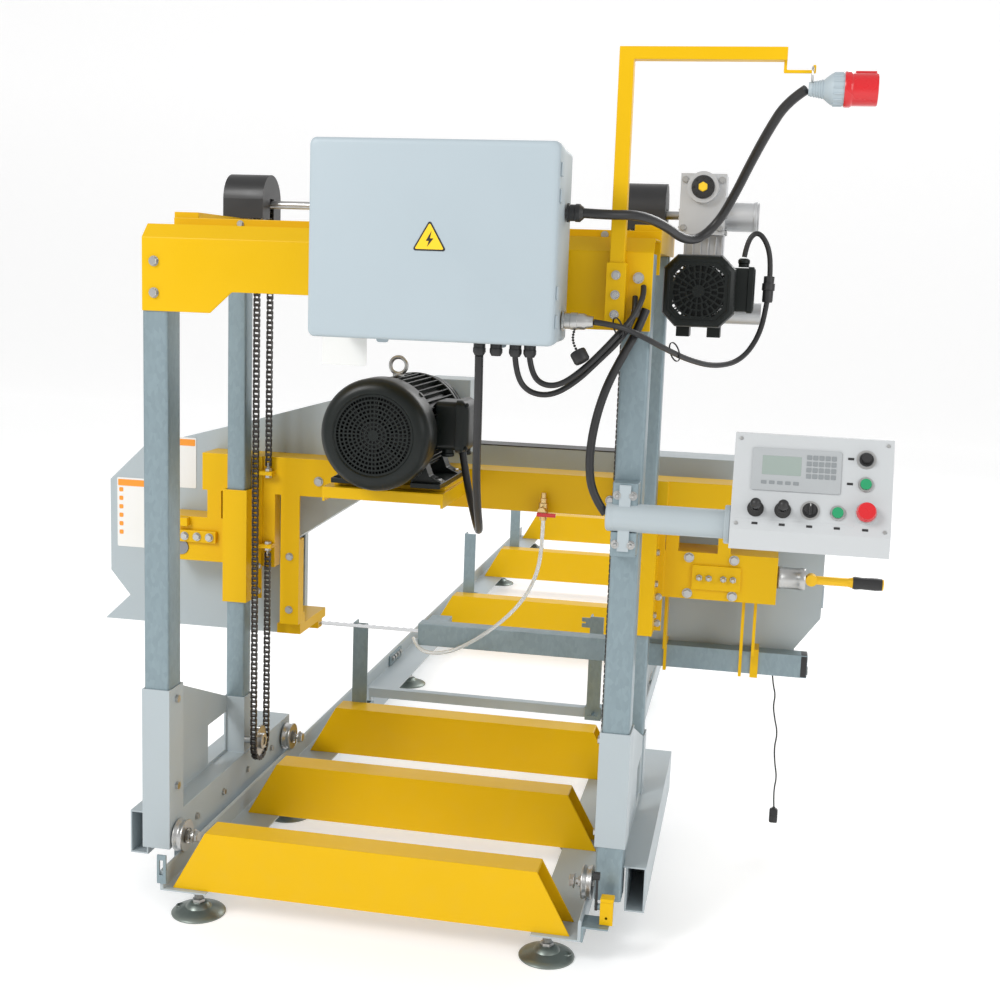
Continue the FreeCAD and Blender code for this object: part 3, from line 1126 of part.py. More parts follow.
def head_fittings():
    """Chain tensioner studs and nuts, head bolts and the water valve."""
    row = []
    y = "post_front + shaft_off + sprocket_pitch"
    for side in ("-", ""):
        x = "%schain_place" % side
        for z, way in ((LOW_LUG, -1), (HIGH_LUG, 1)):
            start = z + 5 if way > 0 else z - 30
            row.append(join(prism(x, y, start if way > 0 else z - 13, "9.5", "8"),
                            rod("z", x, y, start, "5", "25")))
    face = "post_front + head_off"
    row.append(join(rod("y", "273", "post_front + head_off - 30", "905", "13", "30"),
                    rod("z", "273", "post_front + head_off - 16", "880", "8", "60"),
                    rod("y", "273", "post_front + head_off - 44", "905", "17", "14")))
    for x in ("-330", "440"):
        row.append(bolt("y", x, face, "head_beam_low + 42", "6"))
    for right in (-52, 60):
        for z in ("hub_z - 46", "hub_z + 46"):
            row.append(bolt("y", "track_place + %d" % right, face, z, "6"))
    part("head_fittings", group(*row))


def lines():
    """Cables and hoses, each a plain tube on its route."""
    f = size("post_front")
    plug_x = MAINS_ROUTE[-1][0] + 7
    plug = Part.makeCone(16, 30, 40, V(plug_x, f - 20, size("plug_z")), V(1, 0, 0)).fuse([
        Part.makeCylinder(33, 30, V(plug_x + 40, f - 20, size("plug_z")), V(1, 0, 0)),
        Part.makeCylinder(30, 62, V(plug_x + 70, f - 20, size("plug_z")), V(1, 0, 0))]).removeSplitter()
    part("mains_plug", code(plug))
    part("pendant_cable", code(tube(PENDANT_ROUTE, 2.0)))
    end = PENDANT_ROUTE[-1]
    part("pendant_box", code(Part.makeBox(22, 14, 43.4, V(end[0] - 11, end[1] - 7, end[2] - 44))))
    routes = [(MAINS_ROUTE, 10.0)] + GANTRY_ROUTES
    part("gantry_cables", code(Part.makeCompound([tube(route, radius) for route, radius in routes])))
    part("motor_cable", code(tube(MOTOR_ROUTE, 9.0)))
    part("water_hose", code(tube(WATER_ROUTE, 5.0)))


F = SIZES["post_front"]
MAINS_ROUTE = [(427, F - 103, 1614), (476, F - 96, 1612), (535, F - 50, 1616), (580, F + 30, 1600),
               (612, F + 105, 1576), (645, F + 165, 1578), (684, F + 180, 1618), (716, F + 150, 1676),
               (745, F + 98, 1735), (778, F + 42, 1796), (810, F + 4, 1846), (845, F - 19, 1867)]
PENDANT_ROUTE = [(872, F + 697, 483), (876, F + 700, 452), (884, F + 702, 424), (880, F + 704, 394),
                 (886, F + 702, 360), (896, F + 700, 322), (890, F + 698, 282), (894, F + 700, 240),
                 (902, F + 700, 200), (896, F + 702, 160), (900, F + 700, 118)]
GANTRY_ROUTES = [
    ([(458, F - 103, 1400), (501, F - 96, 1396), (545, F - 62, 1378), (592, F + 2, 1350),
      (641, F + 90, 1322),
      (696, F + 180, 1306), (748, F + 255, 1318), (784, F + 312, 1372), (796, F + 345, 1442),
      (800, F + 357, 1510), (794, F + 357, 1570), (768, F + 357, 1608), (744, F + 357, 1588),
      (739, F + 357, 1548)], 6.0),
    ([(493, F - 40, 1002), (464, F - 46, 1040), (454, F - 50, 1110), (462, F - 50, 1190),
      (482, F - 48, 1265),
      (512, F - 40, 1330), (540, F - 24, 1385), (554, F - 15, 1428)], 9.0),
    ([(300, F - 103, 1323.4), (304, F - 99, 1282), (330, F - 92, 1250), (376, F - 86, 1246),
      (424, F - 78, 1276), (468, F - 66, 1322), (506, F - 52, 1362), (526, F - 34, 1396),
      (532, F - 26, 1424), (531, F - 20, 1440), (530, F - 11, 1452)], 6.0),
    ([(330, F - 103, 1323.4), (336, F - 104, 1290), (360, F - 106, 1268), (396, F - 106, 1270),
      (436, F - 98, 1300), (474, F - 84, 1340), (504, F - 66, 1376), (530, F - 46, 1410),
      (544, F - 34, 1440), (548, F - 22, 1462), (546, F - 11, 1474)], 6.0)]
MOTOR_ROUTE = [(225, F - 103, 1322), (224, F - 92, 1240), (218, F - 60, 1150), (206, F - 2, 1060),
               (194, F + 80, 975), (184, F + 160, 915), (166, F + 236, 892), (140, F + 300, 925),
               (112, F + 344, 990), (96, F + 356, 1065)]
WATER_ROUTE = [(273, F + 532, 879.2), (272, F + 536, 820), (262, F + 556, 740), (226, F + 580, 660),
               (168, F + 606, 590), (92, F + 632, 525), (20, F + 648, 480), (-44, F + 657, 466),
               (-84, F + 661, 482), (-92, F + 662, 508)]

rails()
bunks()
rail_plates()
log_stops()
feet()
clamp()
limit_switch()
side_bases()
posts()
front_beam()
top_frame()
frame_fasteners()
rail_wheels()
cabinet()
panel()
mast()
lift_drive()
lift_train()
chains()
head_frame()
main_motor()
band_train()
covers()
guides()
head_fittings()
lines()

doc.recompute()
for thing in doc.Objects:
    if "Invalid" in thing.State or "Error" in thing.State:
        raise RuntimeError("feature %s of %s failed: %s" % (thing.Name, thing.Label, thing.State))
os.makedirs("parts", exist_ok=True)
for label, thing in parts.items():
    shape = thing.Shape
    if shape.isNull() or not shape.isValid():
        raise RuntimeError("sub-part %s has no valid shape" % label)
    box = shape.BoundBox
    print("%-18s solids %2d  volume %9.0f cm3  x %6.0f %6.0f  y %6.0f %6.0f  z %6.0f %6.0f" % (
        label, len(shape.Solids), shape.Volume / 1000, box.XMin, box.XMax, box.YMin, box.YMax, box.ZMin,
        box.ZMax))
    shape.exportStep("parts/%s.step" % label)
print(len(parts), "parts")
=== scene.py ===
import bpy
from math import atan2, copysign, cos, degrees, pi, radians, sin
import numpy as np
from mathutils import Matrix, Vector


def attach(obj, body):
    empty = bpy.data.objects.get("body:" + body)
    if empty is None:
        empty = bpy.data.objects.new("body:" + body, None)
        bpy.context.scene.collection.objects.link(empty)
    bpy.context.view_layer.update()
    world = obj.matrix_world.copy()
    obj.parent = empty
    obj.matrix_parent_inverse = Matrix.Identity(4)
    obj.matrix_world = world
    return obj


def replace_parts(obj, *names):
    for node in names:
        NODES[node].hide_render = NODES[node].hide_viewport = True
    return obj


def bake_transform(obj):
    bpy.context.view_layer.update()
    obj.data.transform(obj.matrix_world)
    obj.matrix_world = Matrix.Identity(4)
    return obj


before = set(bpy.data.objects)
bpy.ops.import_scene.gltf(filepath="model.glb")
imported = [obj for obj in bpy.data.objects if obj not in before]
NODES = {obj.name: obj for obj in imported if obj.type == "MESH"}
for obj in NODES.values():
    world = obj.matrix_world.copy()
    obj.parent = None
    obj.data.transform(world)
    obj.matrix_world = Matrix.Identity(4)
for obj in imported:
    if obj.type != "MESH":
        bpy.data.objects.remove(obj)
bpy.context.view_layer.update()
scene = bpy.context.scene
F = -2.27  # front face of the front posts, m
X, Y, Z, FRONT, DOWN = (1, 0, 0), (0, 1, 0), (0, 0, 1), (0, -1, 0), (0, 0, -1)

# ------------------------------------------------------------------ camera
yaw, pitch, roll = radians(10.7), radians(9.09), 0.0361
forward = Vector((-sin(yaw) * cos(pitch), cos(yaw) * cos(pitch), -sin(pitch)))
right = Vector((cos(yaw), sin(yaw), 0))
up = right.cross(forward)
side = cos(roll) * right + sin(roll) * up
top = -sin(roll) * right + cos(roll) * up
lens = bpy.data.cameras.new("camera")
lens.lens, lens.sensor_width, lens.clip_end = 49.5, 36.0, 60.0
camera = bpy.data.objects.new("camera", lens)
camera.matrix_world = Matrix(((side.x, top.x, -forward.x, 0.803), (side.y, top.y, -forward.y, -5.144),
                              (side.z, top.z, -forward.z, 1.477), (0, 0, 0, 1)))
scene.collection.objects.link(camera)
scene.camera = camera


# ------------------------------------------------------------------ materials
def new_group(name, outputs):
    """Node group with a Scale input and the named outputs."""
    group = bpy.data.node_groups.new(name, "ShaderNodeTree")
    group.interface.new_socket(name="Scale", in_out="INPUT", socket_type="NodeSocketFloat")
    for label, kind in outputs:
        group.interface.new_socket(name=label, in_out="OUTPUT", socket_type=kind)
    return group, group.nodes.new("NodeGroupInput"), group.nodes.new("NodeGroupOutput")


def fill(node, **values):
    """Sets inputs by name, with an underscore for each space; gives the node back."""
    for label, value in values.items():
        node.inputs[label.replace("_", " ")].default_value = value
    return node


def noise_node(nodes, links, vector, scale, detail, source=None):
    """Noise texture read at a vector; source, if given, drives its scale."""
    node = fill(nodes.new("ShaderNodeTexNoise"), Detail=detail, Scale=scale)
    links.new(vector, node.inputs["Vector"])
    if source is not None:
        links.new(source, node.inputs["Scale"])
    return node


def grain_group():
    """Fine normal grain, a broad 0..1 cloud mask and a dust mask that grows towards the floor."""
    group, inn, out = new_group("grain", [("Cloud", "NodeSocketFloat"), ("Dust", "NodeSocketFloat"),
                                          ("Normal", "NodeSocketVector")])
    nodes, links = group.nodes, group.links
    spot = nodes.new("ShaderNodeTexCoord").outputs["Object"]
    fine = noise_node(nodes, links, spot, 400.0, 2.0, inn.outputs["Scale"])
    cloud = noise_node(nodes, links, spot, 7.0, 4.0)
    bump = fill(nodes.new("ShaderNodeBump"), Strength=0.09, Distance=0.0006)
    links.new(fine.outputs["Fac"], bump.inputs["Height"])
    split = nodes.new("ShaderNodeSeparateXYZ")
    links.new(spot, split.inputs[0])
    height = fill(nodes.new("ShaderNodeMapRange"), From_Min=0.0, From_Max=0.7, To_Min=1.0, To_Max=0.15)
    links.new(split.outputs["Z"], height.inputs["Value"])
    dust_noise = noise_node(nodes, links, spot, 23.0, 6.0)
    ramp = fill(nodes.new("ShaderNodeMapRange"), From_Min=0.45, From_Max=0.8)
    links.new(dust_noise.outputs["Fac"], ramp.inputs["Value"])
    dust = nodes.new("ShaderNodeMath")
    dust.operation = "MULTIPLY"
    links.new(ramp.outputs["Result"], dust.inputs[0])
    links.new(height.outputs["Result"], dust.inputs[1])
    links.new(cloud.outputs["Fac"], out.inputs["Cloud"])
    links.new(dust.outputs[0], out.inputs["Dust"])
    links.new(bump.outputs["Normal"], out.inputs["Normal"])
    return group


def spangle_group():
    """Zinc crystals: a cell value per crystal, a soft cloud and the crystals' normal."""
    group, inn, out = new_group("spangle", [("Cells", "NodeSocketFloat"), ("Cloud", "NodeSocketFloat"),
                                            ("Normal", "NodeSocketVector")])
    nodes, links = group.nodes, group.links
    spot = nodes.new("ShaderNodeTexCoord").outputs["Object"]
    stretch = fill(nodes.new("ShaderNodeMapping"), Scale=(1.0, 1.0, 0.45))
    links.new(spot, stretch.inputs["Vector"])
    cells = nodes.new("ShaderNodeTexVoronoi")
    links.new(inn.outputs["Scale"], cells.inputs["Scale"])
    links.new(stretch.outputs["Vector"], cells.inputs["Vector"])
    split = nodes.new("ShaderNodeSeparateColor")
    links.new(cells.outputs["Color"], split.inputs[0])
    cloud = noise_node(nodes, links, stretch.outputs["Vector"], 14.0, 5.0)
    bump = fill(nodes.new("ShaderNodeBump"), Strength=0.02, Distance=0.0003)
    links.new(split.outputs[0], bump.inputs["Height"])
    links.new(split.outputs[0], out.inputs["Cells"])
    links.new(cloud.outputs["Fac"], out.inputs["Cloud"])
    links.new(bump.outputs["Normal"], out.inputs["Normal"])
    return group


GRAIN, SPANGLE = grain_group(), spangle_group()


def material(name, color, rough, metal=0.0, vary=0.06, dust=0.25, grain=420.0, group=None, coat=0.0,
             dust_color=(0.42, 0.4, 0.37), ior=1.5):
    """Principled surface whose colour and gloss drift with the shared masks, with grain in its normal."""
    mat = bpy.data.materials.new(name)
    mat.use_nodes = True
    nodes, links = mat.node_tree.nodes, mat.node_tree.links
    shader = fill(nodes["Principled BSDF"], Metallic=metal, IOR=ior, Coat_Weight=coat, Coat_Roughness=0.12)
    effect = nodes.new("ShaderNodeGroup")
    effect.node_tree = group or GRAIN
    fill(effect, Scale=grain)
    first = nodes.new("ShaderNodeMix")
    first.data_type = "RGBA"
    first.inputs[6].default_value = [c * (1 - vary) for c in color] + [1]
    first.inputs[7].default_value = [min(1.0, c * (1 + vary)) for c in color] + [1]
    links.new(effect.outputs["Cells" if group else "Cloud"], first.inputs[0])
    last = first.outputs[2]
    if not group and dust > 0:
        amount = nodes.new("ShaderNodeMath")
        amount.operation = "MULTIPLY"
        amount.inputs[1].default_value = dust
        links.new(effect.outputs["Dust"], amount.inputs[0])
        second = nodes.new("ShaderNodeMix")
        second.data_type = "RGBA"
        links.new(amount.outputs[0], second.inputs[0])
        links.new(last, second.inputs[6])
        second.inputs[7].default_value = list(dust_color) + [1]
        last = second.outputs[2]
    links.new(last, shader.inputs["Base Color"])
    gloss = fill(nodes.new("ShaderNodeMapRange"), From_Min=0.3, From_Max=0.7, To_Min=rough * 0.85,
                 To_Max=rough * 1.2)
    links.new(effect.outputs["Cloud"], gloss.inputs["Value"])
    links.new(gloss.outputs["Result"], shader.inputs["Roughness"])
    links.new(effect.outputs["Normal"], shader.inputs["Normal"])
    return mat


M = {
    "yellow": material("yellow_paint", (0.74, 0.44, 0.0), 0.36, vary=0.03, dust=0.02, ior=1.3),
    "grey_paint": material("light_grey_paint", (0.4, 0.455, 0.48), 0.42, vary=0.03, dust=0.06),
    "galvanised": material("galvanised_steel", (0.24, 0.31, 0.34), 0.42, metal=0.5, vary=0.055, group=SPANGLE,
                           grain=150.0),
    "steel": material("bare_steel", (0.5, 0.5, 0.49), 0.3, metal=0.95, vary=0.1, dust=0.12),
    "chain": material("oiled_chain", (0.055, 0.05, 0.047), 0.36, metal=0.7, vary=0.25, dust=0.1),
    "iron": material("band_wheel_iron", (0.25, 0.26, 0.28), 0.38, metal=0.7, vary=0.08),
    "blade": material("blade_steel", (0.6, 0.61, 0.62), 0.22, metal=1.0, vary=0.05),
    "black": material("black_plastic", (0.018, 0.018, 0.019), 0.42, vary=0.2, dust=0.05),
    "cabinet": material("cabinet_plastic", (0.4, 0.47, 0.51), 0.48, vary=0.015, dust=0.03, grain=900.0),
    "panel": material("panel_grey", (0.52, 0.54, 0.55), 0.36, vary=0.015, dust=0.02, grain=700.0),
    "green": material("green_button", (0.01, 0.3, 0.12), 0.25, dust=0.0, coat=0.4),
    "red": material("red_plastic", (0.62, 0.006, 0.012), 0.28, dust=0.0, coat=0.4),
    "aluminium": material("gearbox_aluminium", (0.56, 0.57, 0.58), 0.42, metal=0.75, vary=0.06, grain=300.0),
    "motor": material("motor_paint", (0.008, 0.011, 0.01), 0.36, vary=0.2, dust=0.03, grain=260.0, ior=1.35),
    "rubber": material("belt_rubber", (0.02, 0.02, 0.02), 0.7, vary=0.2),
    "cable": material("cable_black", (0.014, 0.014, 0.015), 0.38, vary=0.2, dust=0.06),
    "screen": material("display_glass", (0.3, 0.36, 0.33), 0.12, dust=0.0, vary=0.03, coat=0.6),
    "foot": material("foot_steel", (0.2, 0.23, 0.21), 0.36, metal=0.8, vary=0.15, dust=0.1),
    "bezel": material("bezel_grey", (0.4, 0.42, 0.43), 0.4, vary=0.02, dust=0.0),
    "keys": material("key_grey", (0.24, 0.26, 0.27), 0.45, vary=0.02, dust=0.0),
    "label": material("blank_label", (0.78, 0.78, 0.76), 0.4, dust=0.0, vary=0.01),
    "warn": material("label_orange", (0.85, 0.3, 0.02), 0.4, dust=0.0, vary=0.02),
    "sign": material("sign_yellow", (0.92, 0.6, 0.02), 0.35, dust=0.0, vary=0.02),
    "brass": material("brass", (0.72, 0.52, 0.24), 0.3, metal=1.0, dust=0.0),
}
hose = bpy.data.materials.new("clear_hose")
hose.use_nodes = True
shell = fill(hose.node_tree.nodes["Principled BSDF"], Base_Color=(0.86, 0.88, 0.88, 1), Roughness=0.18,
             Transmission_Weight=0.55, IOR=1.4)
grain = hose.node_tree.nodes.new("ShaderNodeGroup")
grain.node_tree = GRAIN
fill(grain, Scale=200.0)
hose.node_tree.links.new(grain.outputs["Normal"], shell.inputs["Normal"])
M["hose"] = hose

# each slot has the material's own name without any number that was added to it, unless it shares another's
SLOTS = {key: mat.name.split(".")[0] for key, mat in M.items()}
SLOTS.update(chain="bare_steel", red="red_button", motor="motor_housing", screen="black_plastic",
             foot="galvanised_steel", label="panel_grey", bezel="panel_grey", keys="panel_grey", warn="yellow_paint",
             sign="yellow_paint", brass="bare_steel", hose="cable_black")


# ------------------------------------------------------------------ mesh helpers
def square_axes(axis):
    """Two unit vectors square to the axis; the first leans towards z, or x if the axis is upright."""
    ref = Vector(Z if abs(axis.z) < 0.9 else X)
    u = (ref - axis * ref.dot(axis)).normalized()
    return u, axis.cross(u)


def spoke(angle):
    """Unit vectors along and across a spoke that turns in the x-z plane."""
    c, s = cos(angle), sin(angle)
    return Vector((c, 0, s)), Vector((-s, 0, c))


def mm(text):
    """Pairs in metres from 'a b, a b' in millimetres."""
    return [tuple(float(n) / 1000 for n in pair.split()) for pair in text.split(",")]


class Bits:
    """Vertices and faces gathered from several primitives into one piece."""

    def __init__(self):
        self.verts, self.faces, self.count = [], [], 0

    def add(self, verts, faces):
        """Appends vertices, and faces that count from the first of them."""
        verts = np.asarray(verts, float).reshape(-1, 3)
        self.verts.append(verts)
        self.faces += [tuple(int(i) + self.count for i in face) for face in faces]
        self.count += len(verts)
        return self

    def turned(self, profile, origin, axis, steps=32):
        """Lathe: each (radius, distance) pair swept round the axis; a radius of 0 closes to a point."""
        origin, axis = Vector(origin), Vector(axis).normalized()
        u, v = square_axes(axis)
        verts, faces, rows = [], [], []
        for radius, along in profile:
            if radius <= 1e-9:
                rows.append([len(verts)])
                verts.append(origin + axis * along)
                continue
            row = []
            for k in range(steps):
                a = 2 * pi * k / steps
                row.append(len(verts))
                verts.append(origin + axis * along + (u * cos(a) + v * sin(a)) * radius)
            rows.append(row)
        for low, high in zip(rows, rows[1:]):
            for k in range(steps):
                n = (k + 1) % steps
                if len(low) == 1 and len(high) == 1:
                    continue
                if len(low) == 1:
                    faces.append((low[0], high[n], high[k]))
                elif len(high) == 1:
                    faces.append((low[k], low[n], high[0]))
                else:
                    faces.append((low[k], low[n], high[n], high[k]))
        return self.add([tuple(p) for p in verts], faces)

    def prism(self, outline, axis, start, end):
        """Outline of (a, b) points extruded along x, y or z; a and b are the other two axes in order."""
        order = {"x": (2, 0, 1), "y": (0, 2, 1), "z": (0, 1, 2)}[axis]
        n = len(outline)
        verts = []
        for t in (start, end):
            for a, b in outline:
                verts.append(tuple((a, b, t)[i] for i in order))
        faces = [tuple(range(n))[::-1], tuple(range(n, 2 * n))]
        faces += [(i, (i + 1) % n, n + (i + 1) % n, n + i) for i in range(n)]
        return self.add(verts, faces)

    def box(self, low, high):
        """Block between two corners."""
        return self.prism([(low[0], low[1]), (high[0], low[1]), (high[0], high[1]), (low[0], high[1])], "z",
                          low[2], high[2])

    def loft(self, loops, cap_first=True, cap_last=True):
        """Skin through closed loops of equal length."""
        n = len(loops[0])
        verts = [p for loop in loops for p in loop]
        faces = []
        for k in range(len(loops) - 1):
            for i in range(n):
                j = (i + 1) % n
                faces.append((k * n + i, k * n + j, (k + 1) * n + j, (k + 1) * n + i))
        if cap_first:
            faces.append(tuple(range(n))[::-1])
        if cap_last:
            faces.append(tuple(range((len(loops) - 1) * n, len(loops) * n)))
        return self.add(verts, faces)

    def plate(self, centre, size, radius, along, levels, steps=5):
        """Rounded plate lofted through levels; centre and size give its other two axes in order."""
        order = {"x": (2, 0, 1), "y": (0, 2, 1), "z": (0, 1, 2)}[along]
        return self.loft([[tuple((centre[0] + a, centre[1] + b, t)[i] for i in order)
                           for a, b in round_rect(0, 0, *size, radius, steps)] for t in levels])

    def ring(self, centre, radius, thick, along, steps, sides):
        """Closed round wire: circles of sides points swept round a circle square to along."""
        axis, loops = Vector(along), []
        for k in range(steps + 1):
            a = 2 * pi * k / steps
            u = spoke(a)[0] if axis.y else Vector((0, cos(a), sin(a)))
            loops.append([tuple(Vector(centre) + u * radius + (u * cos(b) + axis * sin(b)) * thick)
                          for b in np.linspace(0, 2 * pi, sides + 1)[:-1]])
        return self.loft(loops, False, False)

    def done(self, name, body, mat, replaces=None, bevel=0.0, angle=35.0):
        """Makes the object, smooth but for sharp edges, ties it to its body and hides the node it replaces."""
        verts = np.concatenate(self.verts)
        data = bpy.data.meshes.new(name)
        data.from_pydata(verts.tolist(), [], self.faces)
        data.polygons.foreach_set("use_smooth", [True] * len(data.polygons))
        data.update()
        data.set_sharp_from_angle(angle=radians(angle))
        obj = bpy.data.objects.new(name, data)
        scene.collection.objects.link(obj)
        data.materials.append(M[mat])
        if bevel:
            soften(obj, bevel)
        if body:
            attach(obj, body)
        if replaces:
            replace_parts(obj, replaces)
        return obj


def soften(obj, width, segments=2, angle=32.0):
    """Rounds an object's hard edges."""
    edge = obj.modifiers.new("edges", "BEVEL")
    edge.width, edge.segments, edge.limit_method = width, segments, "ANGLE"
    edge.angle_limit = radians(angle)
    edge.harden_normals = False
    even = obj.modifiers.new("normals", "WEIGHTED_NORMAL")
    even.keep_sharp = True
    return obj


def round_rect(cx, cy, w, h, r, steps=5):
    """Closed rounded rectangle."""
    r = min(r, w / 2 - 1e-5, h / 2 - 1e-5)
    points = []
    for sx, sy, begin in ((1, 1, 0), (-1, 1, 90), (-1, -1, 180), (1, -1, 270)):
        for k in range(steps + 1):
            a = radians(begin + 90 * k / steps)
            points.append((cx + sx * (w / 2 - r) + r * cos(a), cy + sy * (h / 2 - r) + r * sin(a)))
    return points


def hexagon(bits, origin, axis, radius, tall, steps=6):
    """Hexagon head with chamfered rim."""
    bits.turned([(0, 0), (radius, 0), (radius, tall * 0.85), (radius * 0.86, tall), (0, tall)], origin, axis,
                steps)


def washer_bolt(bits, origin, axis, radius):
    """Washer and chamfered hexagon head along an outward axis."""
    axis = Vector(axis)
    origin = Vector(origin)
    bits.turned([(0, 0), (radius * 2.1, 0), (radius * 2.1, radius * 0.25), (0, radius * 0.25)], origin, axis,
                20)
    hexagon(bits, origin + axis * radius * 0.25, axis, radius * 1.8, radius * 1.2)


def grille(bits, centre, axis, rings, steps, thick=0.002):
    """Flat disc cut with rings of openings: rings are (inner, outer, cells or 0 for solid)."""
    centre, axis = Vector(centre), Vector(axis).normalized()
    u, v = square_axes(axis)
    radii = [rings[0][0]] + [r[1] for r in rings]
    verts, faces = [], []
    for level in (0.0, -thick):
        for radius in radii:
            for k in range(steps):
                a = 2 * pi * k / steps
                verts.append(tuple(centre + axis * level + (u * cos(a) + v * sin(a)) * radius))
    total = len(radii) * steps

    def open_at(ring, k):
        """Whether this cell of the ring is an opening."""
        cells = rings[ring][2]
        if not cells:
            return False
        per = steps // cells
        return (k % per) < per * 0.62

    for ring in range(len(rings)):
        for k in range(steps):
            if open_at(ring, k):
                continue
            n = (k + 1) % steps
            a, b = ring * steps + k, ring * steps + n
            c, d = (ring + 1) * steps + n, (ring + 1) * steps + k
            faces.append((a, d, c, b))
            faces.append((a + total, b + total, c + total, d + total))
            for q, near in ((n, open_at(ring, n)), (k, open_at(ring, (k - 1) % steps))):
                if near:
                    e, f = ring * steps + q, (ring + 1) * steps + q
                    faces.append((e, f, f + total, e + total))
            for radius_row, other in ((ring, ring - 1), (ring + 1, ring + 1)):
                inside = 0 <= other < len(rings)
                if (not inside) or open_at(other, k):
                    e, f = radius_row * steps + k, radius_row * steps + n
                    faces.append((e, f, f + total, e + total))
    return bits.add(verts, faces)


# ------------------------------------------------------------------ cords
def spline_points(points, steps):
    """Points along the quadratic spline with these control points: each span runs between the middles of two
    sides of the control line, except at the ends."""
    p = [Vector(q) for q in points]
    line = [p[0]]
    for k in range(1, len(p) - 1):
        start, end = line[-1], p[-1] if k == len(p) - 2 else (p[k] + p[k + 1]) / 2
        line += [start * (1 - t) ** 2 + p[k] * 2 * t * (1 - t) + end * t * t
                 for t in np.linspace(0, 1, steps + 1)[1:]]
    return line


def line_length(points, steps=24):
    """Length of the spline with these control points."""
    line = spline_points(points, steps)
    return sum((b - a).length for a, b in zip(line, line[1:]))


def cord(name, points, radius, mat, body, replaces=()):
    """Round cord along control points given in metres, for a cord that stays on one body."""
    curve = bpy.data.curves.new(name, "CURVE")
    curve.dimensions, curve.bevel_depth, curve.bevel_resolution, curve.resolution_u = "3D", radius, 5, 14
    curve.use_fill_caps = True
    spline = curve.splines.new("NURBS")
    spline.points.add(len(points) - 1)
    for spot, point in zip(spline.points, points):
        spot.co = (*point, 1.0)
    spline.order_u = 3
    spline.use_endpoint_u = True
    obj = bpy.data.objects.new(name, curve)
    scene.collection.objects.link(obj)
    curve.materials.append(M[mat])
    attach(obj, body)
    if replaces:
        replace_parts(obj, *replaces)
    line_length(points)
    return obj


def swept_cord(name, points, radius, mat, node, with_pieces=()):
    """Round tube mesh along the spline, in rings of 14 points that keep their side as the line turns."""
    line = spline_points(points, 12)
    side = Vector(X) if abs((line[1] - line[0]).normalized().x) < 0.8 else Vector(Y)
    loops = []
    for k, centre in enumerate(line):
        way = (line[min(k + 1, len(line) - 1)] - line[max(k - 1, 0)]).normalized()
        side = (side - way * side.dot(way)).normalized()
        other = way.cross(side)
        loops.append([tuple(centre + (side * cos(a) + other * sin(a)) * radius)
                      for a in np.linspace(0, 2 * pi, 15)[:-1]])
    obj = Bits().loft(loops).done(name, None, mat, replaces=node)
    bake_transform(obj)
    line_length(points)
    return obj


def route(text):
    """Points in metres from 'x y z' triples in millimetres; y counts from the front posts."""
    numbers = [float(t) for t in text.split()]
    return [(numbers[i] / 1000, F + numbers[i + 1] / 1000, numbers[i + 2] / 1000)
            for i in range(0, len(numbers), 3)]


MAINS = route("427 -103 1614 476 -96 1612 535 -50 1616 580 30 1600 612 105 1576 645 165 1578 684 180 1618 "
              "716 150 1676 745 98 1735 778 42 1796 810 4 1846 845 -19 1867")
PENDANT = route("872 697 483 876 700 452 884 702 424 880 704 394 886 702 360 896 700 322 890 698 282 "
                "894 700 240 902 700 200 896 702 160 900 700 118")
LIFT_LEAD = route("458 -103 1400 501 -96 1396 545 -62 1378 592 2 1350 641 90 1322 696 180 1306 748 255 1318 "
                  "784 312 1372 796 345 1442 800 357 1510 794 357 1570 768 357 1608 744 357 1588 739 357 1548")
DESK_LEAD = route("493 -40 1002 464 -46 1040 454 -50 1110 462 -50 1190 482 -48 1265 512 -40 1330 540 -24 1385 "
                  "554 -15 1428")
LOOP_A = route("300 -103 1323.4 304 -99 1282 330 -92 1250 376 -86 1246 424 -78 1276 468 -66 1322 506 -52 1362 "
               "526 -34 1396 532 -26 1424 531 -20 1440 530 -11 1452")
LOOP_B = route("330 -103 1323.4 336 -104 1290 360 -106 1268 396 -106 1270 436 -98 1300 474 -84 1340 "
               "504 -66 1376 530 -46 1410 544 -34 1440 548 -22 1462 546 -11 1474")
MOTOR_LEAD = route("225 -103 1322 224 -92 1240 218 -60 1150 206 -2 1060 194 80 975 184 160 915 166 236 892 "
                   "140 300 925 112 344 990 96 356 1065")
WATER = route("273 532 879.2 272 536 820 262 556 740 226 580 660 168 606 590 92 632 525 20 648 480 "
              "-44 657 466 -84 661 482 -92 662 508")


# ------------------------------------------------------------------ CAD nodes kept, with softened edges
KEPT = {"yellow": ["bunks", "front_beam", "top_frame", "cable_mast", "head_frame", "fixed_guide"],
        "grey_paint": ["rails", "clamp_rail", "side_bases", "panel_arm", "left_cover", "left_door",
                       "right_cover",
                       "right_door"],
        "galvanised": ["bed_fittings", "log_stop_1", "log_stop_2", "log_stop_3", "clamp_post", "guide_arm"],
        "steel": ["frame_fasteners", "front_rail_wheels", "rear_rail_wheels", "motor_pulley",
                  "tension_slide", "head_fittings", "lift_shaft"],
        "iron": ["drive_wheel", "idler_wheel"], "blade": ["saw_blade"], "rubber": ["drive_belt"],
        "black": ["chain_covers", "cabinet_fittings", "speed_knob", "mode_selector", "joystick_left",
                  "joystick_right", "limit_lever"],
        "panel": ["panel_box"], "green": ["start_button", "reset_button"], "red": ["stop_button"],
        "aluminium": ["lift_gearbox"]}
